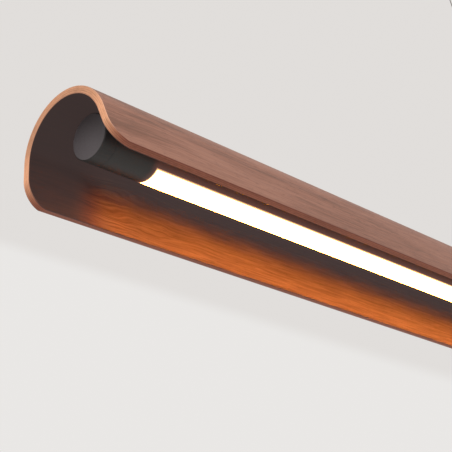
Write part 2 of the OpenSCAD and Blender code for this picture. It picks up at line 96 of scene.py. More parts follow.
class NodeGraph:
    """A node tree, with short ways to add to it."""

    def __init__(self, tree: bpy.types.NodeTree) -> None:
        """Takes a tree.

        Args:
            tree: The tree of a material or of the surround.
        """
        self.tree = tree

    def link(self, source: Socket, target: Socket) -> None:
        """Joins an output to an input."""
        self.tree.links.new(source, target)

    def feed(self, node: bpy.types.Node, inputs: dict) -> bpy.types.Node:
        """Sets or links inputs of a node.

        Args:
            node: The node to feed.
            inputs: A value or a socket for each input's name or number.

        Returns:
            The same node.
        """
        for key, value in inputs.items():
            if isinstance(value, bpy.types.NodeSocket):
                self.link(value, node.inputs[key])
            else:
                node.inputs[key].default_value = value
        return node

    def add(self, kind: str, inputs: dict) -> bpy.types.Node:
        """Adds a node of a kind and feeds its inputs."""
        return self.feed(self.tree.nodes.new(kind), inputs)

    def stretched(self, source: Socket, stretch: Triple) -> Socket:
        """A vector with each part multiplied."""
        return self.add("ShaderNodeMapping", {"Vector": source, "Scale": stretch}).outputs["Vector"]

    def noise(self, at: Socket, scale: float = 1, detail: float = 3, warp: float = 0) -> Socket:
        """Smooth noise from 0 to 1.

        Args:
            at: Where it is read.
            scale: Waves a metre, before any stretch.
            detail: Number of finer layers.
            warp: How far the noise bends itself.

        Returns:
            The noise's value.
        """
        inputs = {"Vector": at, "Scale": scale, "Detail": detail, "Distortion": warp}
        return self.add("ShaderNodeTexNoise", inputs).outputs["Fac"]

    def ramp(self, value: Socket, stops: Sequence[tuple[float, Colour]]) -> Socket:
        """A colour that runs through a list of stops.

        Args:
            value: What picks the colour, from 0 to 1.
            stops: The value and the colour of each stop, in order.

        Returns:
            The colour.
        """
        node = self.add("ShaderNodeValToRGB", {"Fac": value})
        elements = node.color_ramp.elements
        while len(elements) < len(stops):
            elements.new(0.5)
        for element, (position, colour) in zip(elements, stops):
            element.position = position
            element.color = (*colour, 1)
        return node.outputs["Color"]

    def rescale(self, value: Socket, low: float | Socket, high: float | Socket,
                to_low: float | Socket, to_high: float | Socket, smooth: bool = False) -> Socket:
        """One range of a value, mapped to another and clamped to it.

        Args:
            value: The value to map.
            low: Where its range starts.
            high: Where its range ends.
            to_low: The result at the start.
            to_high: The result at the end.
            smooth: Whether both ends are soft.

        Returns:
            The mapped value.
        """
        inputs = {"Value": value, 1: low, 2: high, 3: to_low, 4: to_high}
        node = self.add("ShaderNodeMapRange", inputs)
        node.interpolation_type = "SMOOTHSTEP" if smooth else "LINEAR"
        return node.outputs["Result"]

    def math(self, operation: str, first: Socket | float, second: Socket | float = 0) -> Socket:
        """One sum of two values.

        Args:
            operation: The sum, such as MULTIPLY.
            first: The first value.
            second: The second value, where the sum has one.

        Returns:
            The result.
        """
        node = self.add("ShaderNodeMath", {0: first, 1: second})
        node.operation = operation
        return node.outputs["Value"]

    def part(self, vector: Socket, axis: str) -> Socket:
        """One part, X, Y or Z, of a vector."""
        return self.add("ShaderNodeSeparateXYZ", {"Vector": vector}).outputs[axis]

    def blend(self, share: Socket | float, first: Socket | Colour, second: Socket | Colour,
              mode: str = "MIX") -> Socket:
        """Two colours mixed.

        Args:
            share: How much of the second there is, from 0 to 1.
            first: The first colour.
            second: The second colour.
            mode: How they are mixed.

        Returns:
            The mixed colour.
        """
        node = self.tree.nodes.new("ShaderNodeMix")
        node.data_type = "RGBA"
        node.blend_type = mode
        for key, value in ((6, first), (7, second)):
            if not isinstance(value, bpy.types.NodeSocket):
                value = (*value, 1)
            self.feed(node, {key: value})
        self.feed(node, {0: share})
        return node.outputs[2]


class Graph(NodeGraph):
    """The node graph of one material."""

    def __init__(self, name: str) -> None:
        """Starts a material with its shader.

        Args:
            name: The material's name.
        """
        self.material = bpy.data.materials.new(name)
        self.material.use_nodes = True
        super().__init__(self.material.node_tree)
        self.shader = self.tree.nodes["Principled BSDF"]

    def surface(self, **values: float | Colour | Socket) -> None:
        """Sets the shader's own sockets; an underscore in a name stands for a space."""
        self.feed(self.shader, {key.replace("_", " "): value for key, value in values.items()})

    def place(self, stretch: Triple = EVEN) -> Socket:
        """The point in the lamp's own frame at rest, stretched along X, Y and Z."""
        source = self.tree.nodes.new("ShaderNodeTexCoord").outputs["Object"]
        return self.stretched(source, stretch)

    def unrolled(self, stretch: Triple = EVEN, aside: Socket | None = None) -> Socket:
        """The point on the sheet laid flat.

        Args:
            stretch: Factors along the lamp, round the section and into the sheet.
            aside: How far the point is moved round the section first, in metres.

        Returns:
            The point as a vector.
        """
        source = self.tree.nodes.new("ShaderNodeAttribute")
        source.attribute_name = GRAIN
        point = source.outputs["Vector"]
        if aside is not None:
            step = self.add("ShaderNodeCombineXYZ", {"Y": aside}).outputs["Vector"]
            point = self.add("ShaderNodeVectorMath", {0: point, 1: step}).outputs["Vector"]
        return self.stretched(point, stretch)

    def off_middle(self, axis: str) -> Socket:
        """How far the point on the flat sheet lies from its middle, along it, X, or round it, Y."""
        return self.math("ABSOLUTE", self.part(self.unrolled(), axis))

    def from_end(self, half_length: float) -> Socket:
        """How far the point lies from the nearer end of a sheet of this half length."""
        return self.math("SUBTRACT", half_length, self.off_middle("X"))

    def relief(self, height: Socket, depth: float, strength: float) -> None:
        """Adds a fine bump to the shader.

        Args:
            height: The pattern, from 0 to 1.
            depth: Its depth in metres.
            strength: How much of it shows.
        """
        inputs = {"Strength": strength, "Distance": depth, "Height": height}
        node = self.add("ShaderNodeBump", inputs)
        self.link(node.outputs["Normal"], self.shader.inputs["Normal"])


@dataclass(frozen=True)
class EdgeTone:
    """The sheet's cut edge: light where it crosses the lamp, with painted shade darkening it along
    the lips.
    """

    end: Colour
    # painted shade: the darker colour of the edge along the lips, which face down
    shaded_lip: Colour
    lip_around: float
    turn: float = 15 * MM
    turned: float = 1.5 * MM
    crown: float = 0.73
    crown_from: float = 30 * MM
    crown_to: float = 50 * MM

    def colour(self, g: Graph) -> Socket:
        """The edge's colour: duller at the crown, and turning round the corners to the painted
        shade of the lips.

        Args:
            g: The material's graph.

        Returns:
            The colour.
        """
        around = g.off_middle("Y")
        # painted shade: the edge darkens towards the lips round the corners
        share = g.rescale(around, self.lip_around - self.turn, self.lip_around - self.turned, 0, 1)
        dull = g.rescale(around, self.crown_from, self.crown_to, self.crown, 1, smooth=True)
        return g.blend(1, g.blend(share, self.end, self.shaded_lip), dull, "MULTIPLY")


@dataclass(frozen=True)
class EndTint:
    """A tint that turns from one colour to another over a stretch inwards from each end."""

    start: float
    stop: float
    outer: Colour
    inner: Colour = WHITE

    def colour(self, g: Graph, from_end: Socket) -> Socket:
        """The tint at a distance from the end."""
        share = g.rescale(from_end, self.start, self.stop, 0, 1, smooth=True)
        return g.blend(share, self.outer, self.inner)


@dataclass(frozen=True)
class PaintedInnerLight:
    """Painted light and shade of the lamp's own glow on the walnut under the arch.

    The colour is painted darkest deep in the arch and lightest along the lips. The depths and the
    open ends carry a faint painted glow. The painted light begins dull and red, a little way in
    from each end.
    """

    lip_around: float
    half_length: float
    deep_around: float = 35.5 * MM
    # painted shade deep in the arch and painted light along the lips
    deep_shade_tone: Colour = (0.24, 0.19, 0.25)
    lip_glow_tone: Colour = (1.32, 1.56, 1.7)
    # painted light and shade towards each end
    painted_end_tints: tuple[EndTint, ...] = (
        EndTint(54 * MM, 90 * MM, (2.05, 1.65, 1.2), (1.08, 1.05, 1.1)),
        EndTint(30 * MM, 60 * MM, (0.17, 0.17, 0.17)),
        EndTint(42 * MM, 64 * MM, (1, 0.5, 0.35)),
    )
    # a painted glow, given as emission on the wood
    veil: Colour = (0.055, 0.038, 0.036)
    veil_fade: float = 26 * MM
    mouth_veil: float = 0.86
    mouth_from: float = 34 * MM
    mouth_to: float = 64 * MM
    dimmed: float = 0.72
    dimmed_to: float = 130 * MM

    def tone(self, g: Graph) -> Socket:
        """The colour that the wood is multiplied by: painted light and shade.

        Args:
            g: The material's graph.

        Returns:
            The colour.
        """
        share = g.rescale(g.off_middle("Y"), self.deep_around, self.lip_around, 0, 1)
        tone = g.blend(share, self.deep_shade_tone, self.lip_glow_tone)
        from_end = g.from_end(self.half_length)
        for tint in self.painted_end_tints:
            tone = g.blend(1, tone, tint.colour(g, from_end), "MULTIPLY")
        return tone

    def add_veil(self, g: Graph) -> None:
        """Adds the painted glow to the shader, as emission.

        Args:
            g: The material's graph.
        """
        from_end = g.from_end(self.half_length)
        fades = self.deep_around + self.veil_fade
        deep = g.rescale(g.off_middle("Y"), self.deep_around, fades, 1, 0, smooth=True)
        mouth = g.rescale(from_end, self.mouth_from, self.mouth_to, self.mouth_veil, 0, smooth=True)
        inward = g.rescale(from_end, 0, self.dimmed_to, self.dimmed, 1)
        g.surface(Emission_Color=(*self.veil, 1),
                  Emission_Strength=g.math("MULTIPLY", g.math("MAXIMUM", deep, mouth), inward))


@dataclass(frozen=True)
class Swirl:
    """How the grain wanders from straight: a lot near each end, hardly at all along the lamp."""

    size: float
    half_length: float
    start: float = 60 * MM
    stop: float = 190 * MM
    calm: float = 0.12
    waves: Triple = (15, 40, 1)
    warp: float = 0.5
    curl_range: Span = (0.2, 0.8)

    def aside(self, g: Graph) -> Socket:
        """How far the grain is pushed round the section.

        Args:
            g: The material's graph.

        Returns:
            The distance in metres, to either side.
        """
        noise = g.noise(g.unrolled(self.waves), detail=2, warp=self.warp)
        curl = g.rescale(noise, *self.curl_range, -1, 1)
        reach = g.rescale(g.from_end(self.half_length), self.start, self.stop, self.size,
                          self.calm * self.size, smooth=True)
        return g.math("MULTIPLY", curl, reach)


@dataclass(frozen=True)
class WalnutVeneer:
    """Matt oiled walnut, its grain along the lamp on the sheet laid flat.

    The weights of the figure, the streaks and the fibres say how much each adds to the tone.
    """

    name: str
    slot: str
    dark: Colour
    mid: Colour
    light: Colour
    face_depth: float
    edge: EdgeTone
    swirl: Swirl
    lit: PaintedInnerLight | None = None
    figure: float = 0.45
    streak: float = 0.25
    fibre: float = 0.3
    contrast: float = 0.12
    roughness: float = 0.5
    gloss: float = 0.35
    figure_waves: Triple = (3.5, 34, 1)
    figure_warp: float = 1.6
    streak_waves: Triple = (4.5, 330, 1)
    streak_warp: float = 0.9
    fibre_waves: Triple = (28, 820, 1)
    fibre_warp: float = 0.6
    pore_waves: Triple = (120, 3400, 1)
    patch_waves: Triple = (5, 60, 1)
    pore_from: float = 0.3
    pore_to: Span = (0.34, 0.42)
    pore_tone: float = 0.45
    pore_depth: float = 0.05 * MM
    pore_relief: float = 0.5
    ease_from: float = 0.02 * MM
    ease_to: float = 0.22 * MM

    def make(self) -> bpy.types.Material:
        """Builds the material: grain, open pores, the eased edge and, inside, painted light and
        shade.

        Returns:
            The material.
        """
        g = Graph(self.name)
        bend = self.swirl.aside(g)
        figure = g.noise(g.unrolled(self.figure_waves, bend), warp=self.figure_warp)
        streaks = g.noise(g.unrolled(self.streak_waves, bend), warp=self.streak_warp)
        fibres = g.noise(g.unrolled(self.fibre_waves, bend), warp=self.fibre_warp)
        tone = g.math("MULTIPLY", figure, self.figure)
        for pattern, weight in ((streaks, self.streak), (fibres, self.fibre)):
            tone = g.math("ADD", tone, g.math("MULTIPLY", pattern, weight))
        middle = 0.5 * (self.figure + self.streak + self.fibre)
        wood = g.ramp(tone, [(middle - self.contrast, self.dark), (middle, self.mid),
                             (middle + self.contrast, self.light)])
        # painted light and shade of the lamp's glow on the wood, and a painted glow as emission
        if self.lit is not None:
            wood = g.blend(1, wood, self.lit.tone(g), "MULTIPLY")
            self.lit.add_veil(g)
        holes = self.pores(g)
        depth = g.math("ABSOLUTE", g.math("SUBTRACT", g.part(g.unrolled(), "Z"), self.face_depth))
        eased = g.rescale(depth, self.ease_from, self.ease_to, 0, 1)
        smoothest, roughest = self.roughness - 0.06, self.roughness + 0.08
        g.surface(
            Base_Color=g.blend(eased, g.blend(1, wood, holes, "MULTIPLY"), self.edge.colour(g)),
            Roughness=g.rescale(streaks, *NOISE_RANGE, smoothest, roughest),
            Specular_IOR_Level=self.gloss,
        )
        g.relief(holes, self.pore_depth, self.pore_relief)
        return g.material

    def pores(self, g: Graph) -> Socket:
        """The open pores, more of them in some patches than in others.

        Args:
            g: The material's graph.

        Returns:
            The tone: 1 on the plain wood, less in a pore.
        """
        pores = g.noise(g.unrolled(self.pore_waves), detail=1)
        patches = g.noise(g.unrolled(self.patch_waves), detail=1)
        pore_to = g.rescale(patches, *CLOUD_RANGE, *self.pore_to)
        return g.rescale(pores, self.pore_from, pore_to, self.pore_tone, 1)


@dataclass(frozen=True)
class PlyEdge:
    """The bare edge of thin bent plies, oiled, with a line at each glue joint."""

    name: str
    slot: str
    edge: EdgeTone
    veneer: float
    core: float
    plies: int = 3
    joint_line: Span = (0.02, 0.1)
    joint_tone: float = 0.5
    cut_waves: Triple = (260, 260, 1400)
    cut_tones: Span = (0.8, 1.08)
    cut_depth: float = 0.04 * MM
    cloud_waves: Triple = (12, 40, 300)
    cloud_tones: Span = (0.86, 1.08)
    roughness: float = 0.55
    gloss: float = 0.3

    def make(self) -> bpy.types.Material:
        """Builds the material from the depth into the sheet.

        Returns:
            The material.
        """
        g = Graph(self.name)
        depth = g.part(g.unrolled(), "Z")
        ply = g.math("FRACT", g.math("DIVIDE", g.math("SUBTRACT", depth, self.veneer),
                                     self.core / self.plies))
        line = g.math("MINIMUM", ply, g.math("SUBTRACT", 1, ply))
        joint = g.rescale(line, *self.joint_line, self.joint_tone, 1)
        cut = g.noise(g.unrolled(self.cut_waves))
        cloud = g.noise(g.unrolled(self.cloud_waves), detail=2)
        tone = g.math("MULTIPLY", g.rescale(cut, *NOISE_RANGE, *self.cut_tones),
                      g.rescale(cloud, *CLOUD_RANGE, *self.cloud_tones))
        shade = g.math("MINIMUM", g.math("MULTIPLY", tone, joint), 1)
        g.surface(Base_Color=g.blend(1, self.edge.colour(g), shade, "MULTIPLY"),
                  Roughness=self.roughness, Specular_IOR_Level=self.gloss)
        g.relief(cut, self.cut_depth, 0.4)
        return g.material


@dataclass(frozen=True)
class Coating:
    """A fine matt coat on metal, or a moulded skin: an even colour with a fine tooth."""

    name: str
    slot: str
    colour: Colour
    roughness: float
    tooth: float = 900
    depth: float = 0.02 * MM
    spread: float = 0.12
    cloud: float = 14
    rough_spread: float = 0.05

    def make(self) -> bpy.types.Material:
        """Builds the material.

        Returns:
            The material.
        """
        g = Graph(self.name)
        self.coat(g)
        return g.material

    def coat(self, g: Graph) -> None:
        """Gives the shader its slight cloud in colour, its gloss and its tooth.

        Args:
            g: The material's graph.
        """
        grain = g.noise(g.place(), self.tooth, detail=2)
        cloud = g.noise(g.place(), self.cloud, detail=2)
        tones = [tuple(part * share for part in self.colour)
                 for share in (1 - self.spread, 1 + self.spread)]
        g.surface(
            Base_Color=g.ramp(cloud, list(zip(CLOUD_RANGE, tones))),
            Roughness=g.rescale(grain, *NOISE_RANGE, self.roughness - self.rough_spread,
                                self.roughness + self.rough_spread),
        )
        g.relief(grain, self.depth, FINE_RELIEF)


@dataclass(frozen=True, kw_only=True)
class LitCoating(Coating):
    """A matt black coat with a painted glow of warm light close to the glowing window it surrounds.
    """

    painted_spill: Colour
    strength: float
    half_width: float
    half_length: float
    side_reach: float = 9 * MM
    end_reach: float = 4 * MM

    def coat(self, g: Graph) -> None:
        """Adds to the coat a painted glow, as emission, close past the window's edges on the
        unrolled tube.

        Args:
            g: The material's graph.
        """
        super().coat(g)
        near = []
        for axis, limit, reach in (("Y", self.half_width, self.side_reach),
                                   ("X", self.half_length, self.end_reach)):
            near.append(g.rescale(g.math("SUBTRACT", g.off_middle(axis), limit), 0, reach, 1, 0))
        # painted light: the black coat glows warm near the window
        g.surface(Emission_Color=(*self.painted_spill, 1),
                  Emission_Strength=g.rescale(g.math("MULTIPLY", *near), 0, 1, 0, self.strength))


@dataclass(frozen=True)
class TurnedCap:
    """A black anodised cap whose end face is turned back to a satin grey."""

    name: str
    slot: str
    side: Colour
    face: Colour
    roughness: float
    facing: Span = (0.75, 0.97)
    speck: float = 1600
    rings: Triple = (1, 900, 900)
    depth: float = 0.02 * MM

    def make(self) -> bpy.types.Material:
        """Builds the material: the face is told from the side by which way it looks.

        Returns:
            The material.
        """
        g = Graph(self.name)
        looks = g.tree.nodes.new("ShaderNodeNewGeometry").outputs["Normal"]
        on_face = g.rescale(g.math("ABSOLUTE", g.part(looks, "X")), *self.facing, 0, 1)
        speck = g.noise(g.place(), self.speck, detail=2)
        rings = g.noise(g.place(self.rings), detail=1)
        bright = g.math("MINIMUM", g.rescale(speck, *NOISE_RANGE, 0.9, 1.1), 1)
        smoothest, roughest = self.roughness - 0.05, self.roughness + 0.07
        g.surface(
            Base_Color=g.blend(on_face, self.side, g.blend(1, self.face, bright, "MULTIPLY")),
            Roughness=g.rescale(rings, *NOISE_RANGE, smoothest, roughest),
        )
        g.relief(speck, self.depth, FINE_RELIEF)
        return g.material


@dataclass(frozen=True)
class WorkedMetal:
    """Bare metal with the fine marks of turning, drawing or rolling."""

    name: str
    slot: str
    colour: Colour
    roughness: float
    marks: Triple = (60, 60, 2200)
    tarnish: float = 55
    tarnish_range: Span = (0.3, 0.6)
    dulled: float = 0.72
    depth: float = 0.01 * MM

    def make(self) -> bpy.types.Material:
        """Builds the material: fine parallel marks, with a little tarnish.

        Returns:
            The material.
        """
        g = Graph(self.name)
        lines = g.noise(g.place(self.marks))
        tarnish = g.noise(g.place(), self.tarnish)
        dull = tuple(part * self.dulled for part in self.colour)
        smoothest, roughest = self.roughness * 0.75, self.roughness * 1.3
        g.surface(
            Base_Color=g.ramp(tarnish, list(zip(self.tarnish_range, (dull, self.colour)))),
            Roughness=g.rescale(lines, *NOISE_RANGE, smoothest, roughest),
            Metallic=1.0,
        )
        g.relief(lines, self.depth, 0.3)
        return g.material


@dataclass(frozen=True)
class OpalGlow:
    """Lit opal plastic that dims to amber close to its edges."""

    name: str
    slot: str
    colour: Colour
    glow: Colour
    strength: float
    half_width: float
    half_length: float
    amber: Colour = (1.0, 0.36, 0.05)
    amber_strength: float = 0.3
    fade: float = 1.4 * MM
    steepness: float = 6.0
    speck: float = 500
    dulled: float = 0.96
    roughness: float = 0.35

    def make(self) -> bpy.types.Material:
        """Builds the material from the distance to the lens's edges.

        Returns:
            The material.
        """
        g = Graph(self.name)
        edges = [g.rescale(g.math("SUBTRACT", limit, g.off_middle(axis)), 0, self.fade, 0, 1)
                 for axis, limit in (("Y", self.half_width), ("X", self.half_length))]
        inside = g.math("MULTIPLY", *edges)
        soft = g.math("POWER", inside, self.steepness)
        speck = g.noise(g.unrolled(), self.speck, detail=2)
        dull = tuple(part * self.dulled for part in self.colour)
        g.surface(
            Base_Color=g.ramp(speck, list(zip(NOISE_RANGE, (dull, self.colour)))),
            Roughness=self.roughness,
            Emission_Color=g.blend(inside, self.amber, self.glow),
            Emission_Strength=g.rescale(soft, 0, 1, self.amber_strength, self.strength),
        )
        return g.material


@dataclass(frozen=True)
class Painted:
    """A plain pale floor with a barely seen unevenness."""

    name: str
    low: Colour
    high: Colour
    cloud: float = 0.7
    roughness: float = 0.85

    def make(self) -> bpy.types.Material:
        """Builds the material.

        Returns:
            The material.
        """
        g = Graph(self.name)
        cloud = g.noise(g.place(), self.cloud, detail=2)
        tone = g.ramp(cloud, list(zip(NOISE_RANGE, (self.low, self.high))))
        g.surface(Base_Color=tone, Roughness=self.roughness)
        return g.material


Finish = WalnutVeneer | PlyEdge | Coating | LitCoating | TurnedCap | WorkedMetal | OpalGlow


class Palette:
    """Every finish of the lamp, each made once, when it is first used."""

    def __init__(self) -> None:
        """Starts with no material made."""
        self.made: dict[str, bpy.types.Material] = {}

    def material(self, finish: Finish) -> bpy.types.Material:
        """The material of a finish.

        Args:
            finish: What is wanted.

        Returns:
            The one material made of it.
        """
        if finish.name not in self.made:
            self.made[finish.name] = finish.make()
        return self.made[finish.name]


PALETTE = Palette()
CAP_GREY = TurnedCap("cap_grey_satin", "cap_grey", (0.036, 0.033, 0.032), (0.115, 0.1, 0.106), 0.5)
FITTING_BLACK = Coating("fitting_black", "black_fitting", (0.022, 0.021, 0.02), 0.42)
BOX_BLACK = Coating("box_powder_coat", "box_paint", (0.024, 0.023, 0.022), 0.55, tooth=1300,
                    depth=0.05 * MM)
PAD_RUBBER = Coating("pad_rubber_black", "pad_rubber", (0.02, 0.02, 0.02), 0.75, tooth=600)
NYLON = Coating("natural_nylon", "nylon", (0.72, 0.7, 0.64), 0.4, spread=0.04)
CASE_WHITE = Coating("moulded_case_white", "case_white", (0.78, 0.78, 0.76), 0.5, tooth=1200,
                     spread=0.03)
BOARD_WHITE = Coating("board_mask_white", "board", (0.8, 0.8, 0.77), 0.35, spread=0.03)
CHIP_YELLOW = Coating("chip_phosphor", "chip", (0.8, 0.6, 0.1), 0.45, spread=0.06)
TRAY_METAL = WorkedMetal("mill_aluminium", "tray_metal", (0.78, 0.78, 0.78), 0.38, (3, 1800, 1800))
BRASS = WorkedMetal("turned_brass", "brass", (0.78, 0.56, 0.25), 0.25)
SCREW_STEEL = WorkedMetal("dark_zinc", "screw_steel", (0.32, 0.32, 0.34), 0.35)
COPPER = WorkedMetal("copper_strip", "copper", (0.78, 0.4, 0.24), 0.3, (2000, 60, 60))
BRIGHT_STEEL = WorkedMetal("bright_steel_turned", "bright_steel", (0.7, 0.7, 0.7), 0.18)
WIRE_STEEL = WorkedMetal("drawn_steel_strand", "wire_rope", (0.17, 0.155, 0.145), 0.42,
                         (3000, 3000, 40))
NICKEL = WorkedMetal("nickel_plate", "gripper_metal", (0.74, 0.72, 0.68), 0.2)
ZINC_SHEET = WorkedMetal("zinc_sheet", "bracket_steel", (0.6, 0.61, 0.63), 0.4, (25, 900, 900))

TUBE_NODES: dict[str, Finish] = {"led_tray": TRAY_METAL}
TUBE_END_NODES: dict[str, Finish] = {
    "led_board": BOARD_WHITE, "led_chips": CHIP_YELLOW, "hang_pad": PAD_RUBBER,
    "end_pad": PAD_RUBBER, "insert": BRASS, "fixing_screw": SCREW_STEEL,
}
FITTING_NODES: dict[str, Finish] = {
    "bush": NYLON, "saddle": FITTING_BLACK, "nut_washer": NYLON, "lock_nut": BRASS,
    "contact_tag": COPPER,
}
WIRE_NODES: dict[str, Finish] = {"ball_end": BRIGHT_STEEL}
GRIPPER_NODES: dict[str, Finish] = {"seat_bush": NYLON}
BOX_NODES: dict[str, Finish] = {
    "bracket": ZINC_SHEET, "driver": CASE_WHITE, "terminal_block": CASE_WHITE,
}


def node_size(node: str) -> tuple[Vector, Vector, Vector]:
    """A CAD node's lowest corner, highest corner and middle at rest."""
    low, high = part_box(node)
    return low, high, (low + high) / 2


def dress(finishes: dict[str, Finish], end: End | None = None) -> None:
    """Gives the CAD nodes that stay in view their finishes.

    Args:
        finishes: The finish of each node.
        end: The end that completes each node's name, where there is a node at each end.
    """
    for name, finish in finishes.items():
        node = f"{name}_{end.word}" if end else name
        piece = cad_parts[node]
        material = PALETTE.material(finish)
        if not piece.material_slots:
            piece.data.materials.append(material)
        for slot in piece.material_slots:
            slot.material = material
        LOG.info("dressed %s in %s", node, finish.name)


def add_piece(name: str, mesh: bmesh.types.BMesh, finish: Finish, body: str,
              nodes: Iterable[str] = ()) -> bpy.types.Object:
    """Turns a mesh into a finished piece that rides on its body.

    Args:
        name: The piece's name.
        mesh: Its shape in metres, in the lamp's frame; freed here.
        finish: What it is made of.
        body: The body that it rides on.
        nodes: The CAD nodes that it stands for.

    Returns:
        The new object.
    """
    bmesh.ops.recalc_face_normals(mesh, faces=mesh.faces)
    for face in mesh.faces:
        face.smooth = True
    for edge in mesh.edges:
        edge.smooth = len(edge.link_faces) == 2 and edge.calc_face_angle(0) < SHARP_ANGLE
    data = bpy.data.meshes.new(name)
    mesh.to_mesh(data)
    mesh.free()
    piece = bpy.data.objects.new(name, data)
    bpy.context.scene.collection.objects.link(piece)
    data.materials.append(PALETTE.material(finish))
    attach(piece, body)
    if nodes:
        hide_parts(*nodes)
    LOG.info("made %s: %d faces, on %s", name, len(data.polygons), body)
    return piece


def join_rings(mesh: bmesh.types.BMesh, first: Sequence, second: Sequence) -> None:
    """Joins two rings of as many vertices with a band of faces.

    Args:
        mesh: The mesh to add to.
        first: The vertices of the one ring.
        second: The vertices of the other.
    """
    count = len(first)
    for i in range(count):
        j = (i + 1) % count
        mesh.faces.new((first[i], first[j], second[j], second[i]))


def loft(mesh: bmesh.types.BMesh, loops: Sequence[Sequence[Vector]]) -> None:
    """Skins closed loops that all have as many points, and fills the first and the last.

    Args:
        mesh: The mesh to add to.
        loops: The loops in order, each a closed line of points.
    """
    rows = [[mesh.verts.new(point) for point in loop] for loop in loops]
    for first, second in zip(rows, rows[1:]):
        join_rings(mesh, first, second)
    mesh.faces.new(list(reversed(rows[0])))
    mesh.faces.new(rows[-1])


def softened(profile: Profile, radius: float, steps: int = 3,
             closed: bool = True) -> list[tuple[float, float]]:
    """A profile with its sharp corners rounded by short arcs.

    Args:
        profile: The corner points in order.
        radius: The rounding's reach along each side.
        steps: Segments in each arc.
        closed: Whether the last point joins on to the first.

    Returns:
        The rounded line of points.
    """
    points = [Vector(point) for point in profile]
    count = len(points)
    made: list[tuple[float, float]] = []
    for i, here in enumerate(points):
        if not closed and i in (0, count - 1):
            made.append(tuple(here))
            continue
        before, after = points[i - 1] - here, points[(i + 1) % count] - here
        turn = math.pi - before.angle(after)
        reach = min(radius, before.length * SIDE_SHARE, after.length * SIDE_SHARE)
        if turn < SLIGHT_TURN or reach < SLIGHT_REACH:
            made.append(tuple(here))
            continue
        start, end = here + before.normalized() * reach, here + after.normalized() * reach
        for k in range(steps + 1):
            t = k / steps
            made.append(tuple(start * (1 - t) ** 2 + here * 2 * t * (1 - t) + end * t ** 2))
    return made


@dataclass(frozen=True)
class Lathe:
    """A turned shape about an upright or level axis.

    A profile is a closed line of (radius, height) points.
    """

    centre: Vector
    axis: Vector = UPRIGHT
    steps: int = 64
    teeth: int = 0
    tooth_depth: float = 0
    tooth_low: float = 0
    tooth_high: float = 0

    def turn(self, mesh: bmesh.types.BMesh, profile: Profile) -> None:
        """Turns the profile round the axis, with knurled teeth between two heights.

        Args:
            mesh: The mesh to add to.
            profile: Points of (radius, height); a radius of zero lies on the axis.
        """
        turned = UPRIGHT.rotation_difference(self.axis)
        steps = self.teeth * 2 if self.teeth else self.steps
        outer = max(radius for radius, _ in profile)
        rings: list[list[bmesh.types.BMVert]] = []
        for radius, height in profile:
            if radius < TOUCHING:
                rings.append([mesh.verts.new(self.centre + turned @ Vector((0, 0, height)))])
                continue
            ring = []
            knurled = (self.teeth and self.tooth_low <= height <= self.tooth_high
                       and radius > outer - 2 * self.tooth_depth)
            for k in range(steps):
                angle = 2 * math.pi * k / steps
                reach = radius - (self.tooth_depth if knurled and k % 2 else 0)
                point = Vector((reach * math.cos(angle), reach * math.sin(angle), height))
                ring.append(mesh.verts.new(self.centre + turned @ point))
            rings.append(ring)
        for first, second in zip(rings, rings[1:] + rings[:1]):
            self.skin(mesh, first, second)

    @staticmethod
    def skin(mesh: bmesh.types.BMesh, first: Sequence, second: Sequence) -> None:
        """Joins two rings, either of which may be a single point on the axis.

        Args:
            mesh: The mesh to add to.
            first: The vertices of the one ring.
            second: The vertices of the other.
        """
        count = max(len(first), len(second))
        if count == 1:
            return
        for i in range(count):
            j = (i + 1) % count
            corners = [first[i % len(first)], first[j % len(first)],
                       second[j % len(second)], second[i % len(second)]]
            mesh.faces.new(list(dict.fromkeys(corners)))


@dataclass
class Viewpoint:
    """The camera of the photograph: where it stands and how it is turned."""

    place: Triple = (-1.12748, -0.40497, -0.89674)
    turn_degrees: Triple = (120.187, 9.918, -45.779)
    lens_mm: float = 92.743
    sensor_mm: float = 36.0
    clip_near: float = 0.05
    clip_far: float = 500

    def build(self) -> None:
        """Makes the camera and gives it to the scene."""
        data = bpy.data.cameras.new("photo_camera")
        data.lens, data.sensor_width = self.lens_mm, self.sensor_mm
        data.clip_start, data.clip_end = self.clip_near, self.clip_far
        camera = bpy.data.objects.new("photo_camera", data)
        bpy.context.scene.collection.objects.link(camera)
        camera.location = self.place
        camera.rotation_euler = Euler([math.radians(angle) for angle in self.turn_degrees])
        bpy.context.scene.camera = camera


@dataclass
class Suspension:
    """The two wires, each a rope of six strands laid round one, from ball end to tail."""

    strands: int = 6
    lay_length: float = 7 * MM
    steps_per_lay: int = 6
    points_per_strand: int = 4
    groove: float = 0.24

    def build(self) -> None:
        """Makes both wires and dresses their ball ends."""
        for end in End:
            self.wire(end)
            dress(WIRE_NODES, end)

    def wire(self, end: End) -> None:
        """Makes one wire.

        Args:
            end: Which of the two wires.
        """
        low, high, middle = node_size(f"wire_{end.word}")
        radius = (high.x - low.x) / 2
        length = high.z - low.z
        rings = round(length / self.lay_length * self.steps_per_lay)
        around = self.strands * self.points_per_strand
        loops = []
        for i in range(rings + 1):
            z = low.z + length * i / rings
            twist = 2 * math.pi * (z - low.z) / self.lay_length
            loop = []
            for k in range(around):
                angle = 2 * math.pi * k / around
                lobe = abs(math.sin(self.strands * angle / 2))
                reach = radius * (1 - self.groove + self.groove * lobe)
                loop.append(Vector((middle.x + reach * math.cos(angle + twist),
                                    middle.y + reach * math.sin(angle + twist), z)))
            loops.append(loop)
        mesh = bmesh.new()
        loft(mesh, loops)
        piece = add_piece(f"wire_rope_{end.word}", mesh, WIRE_STEEL, Body.WIRES.value,
                          [f"wire_{end.word}"])


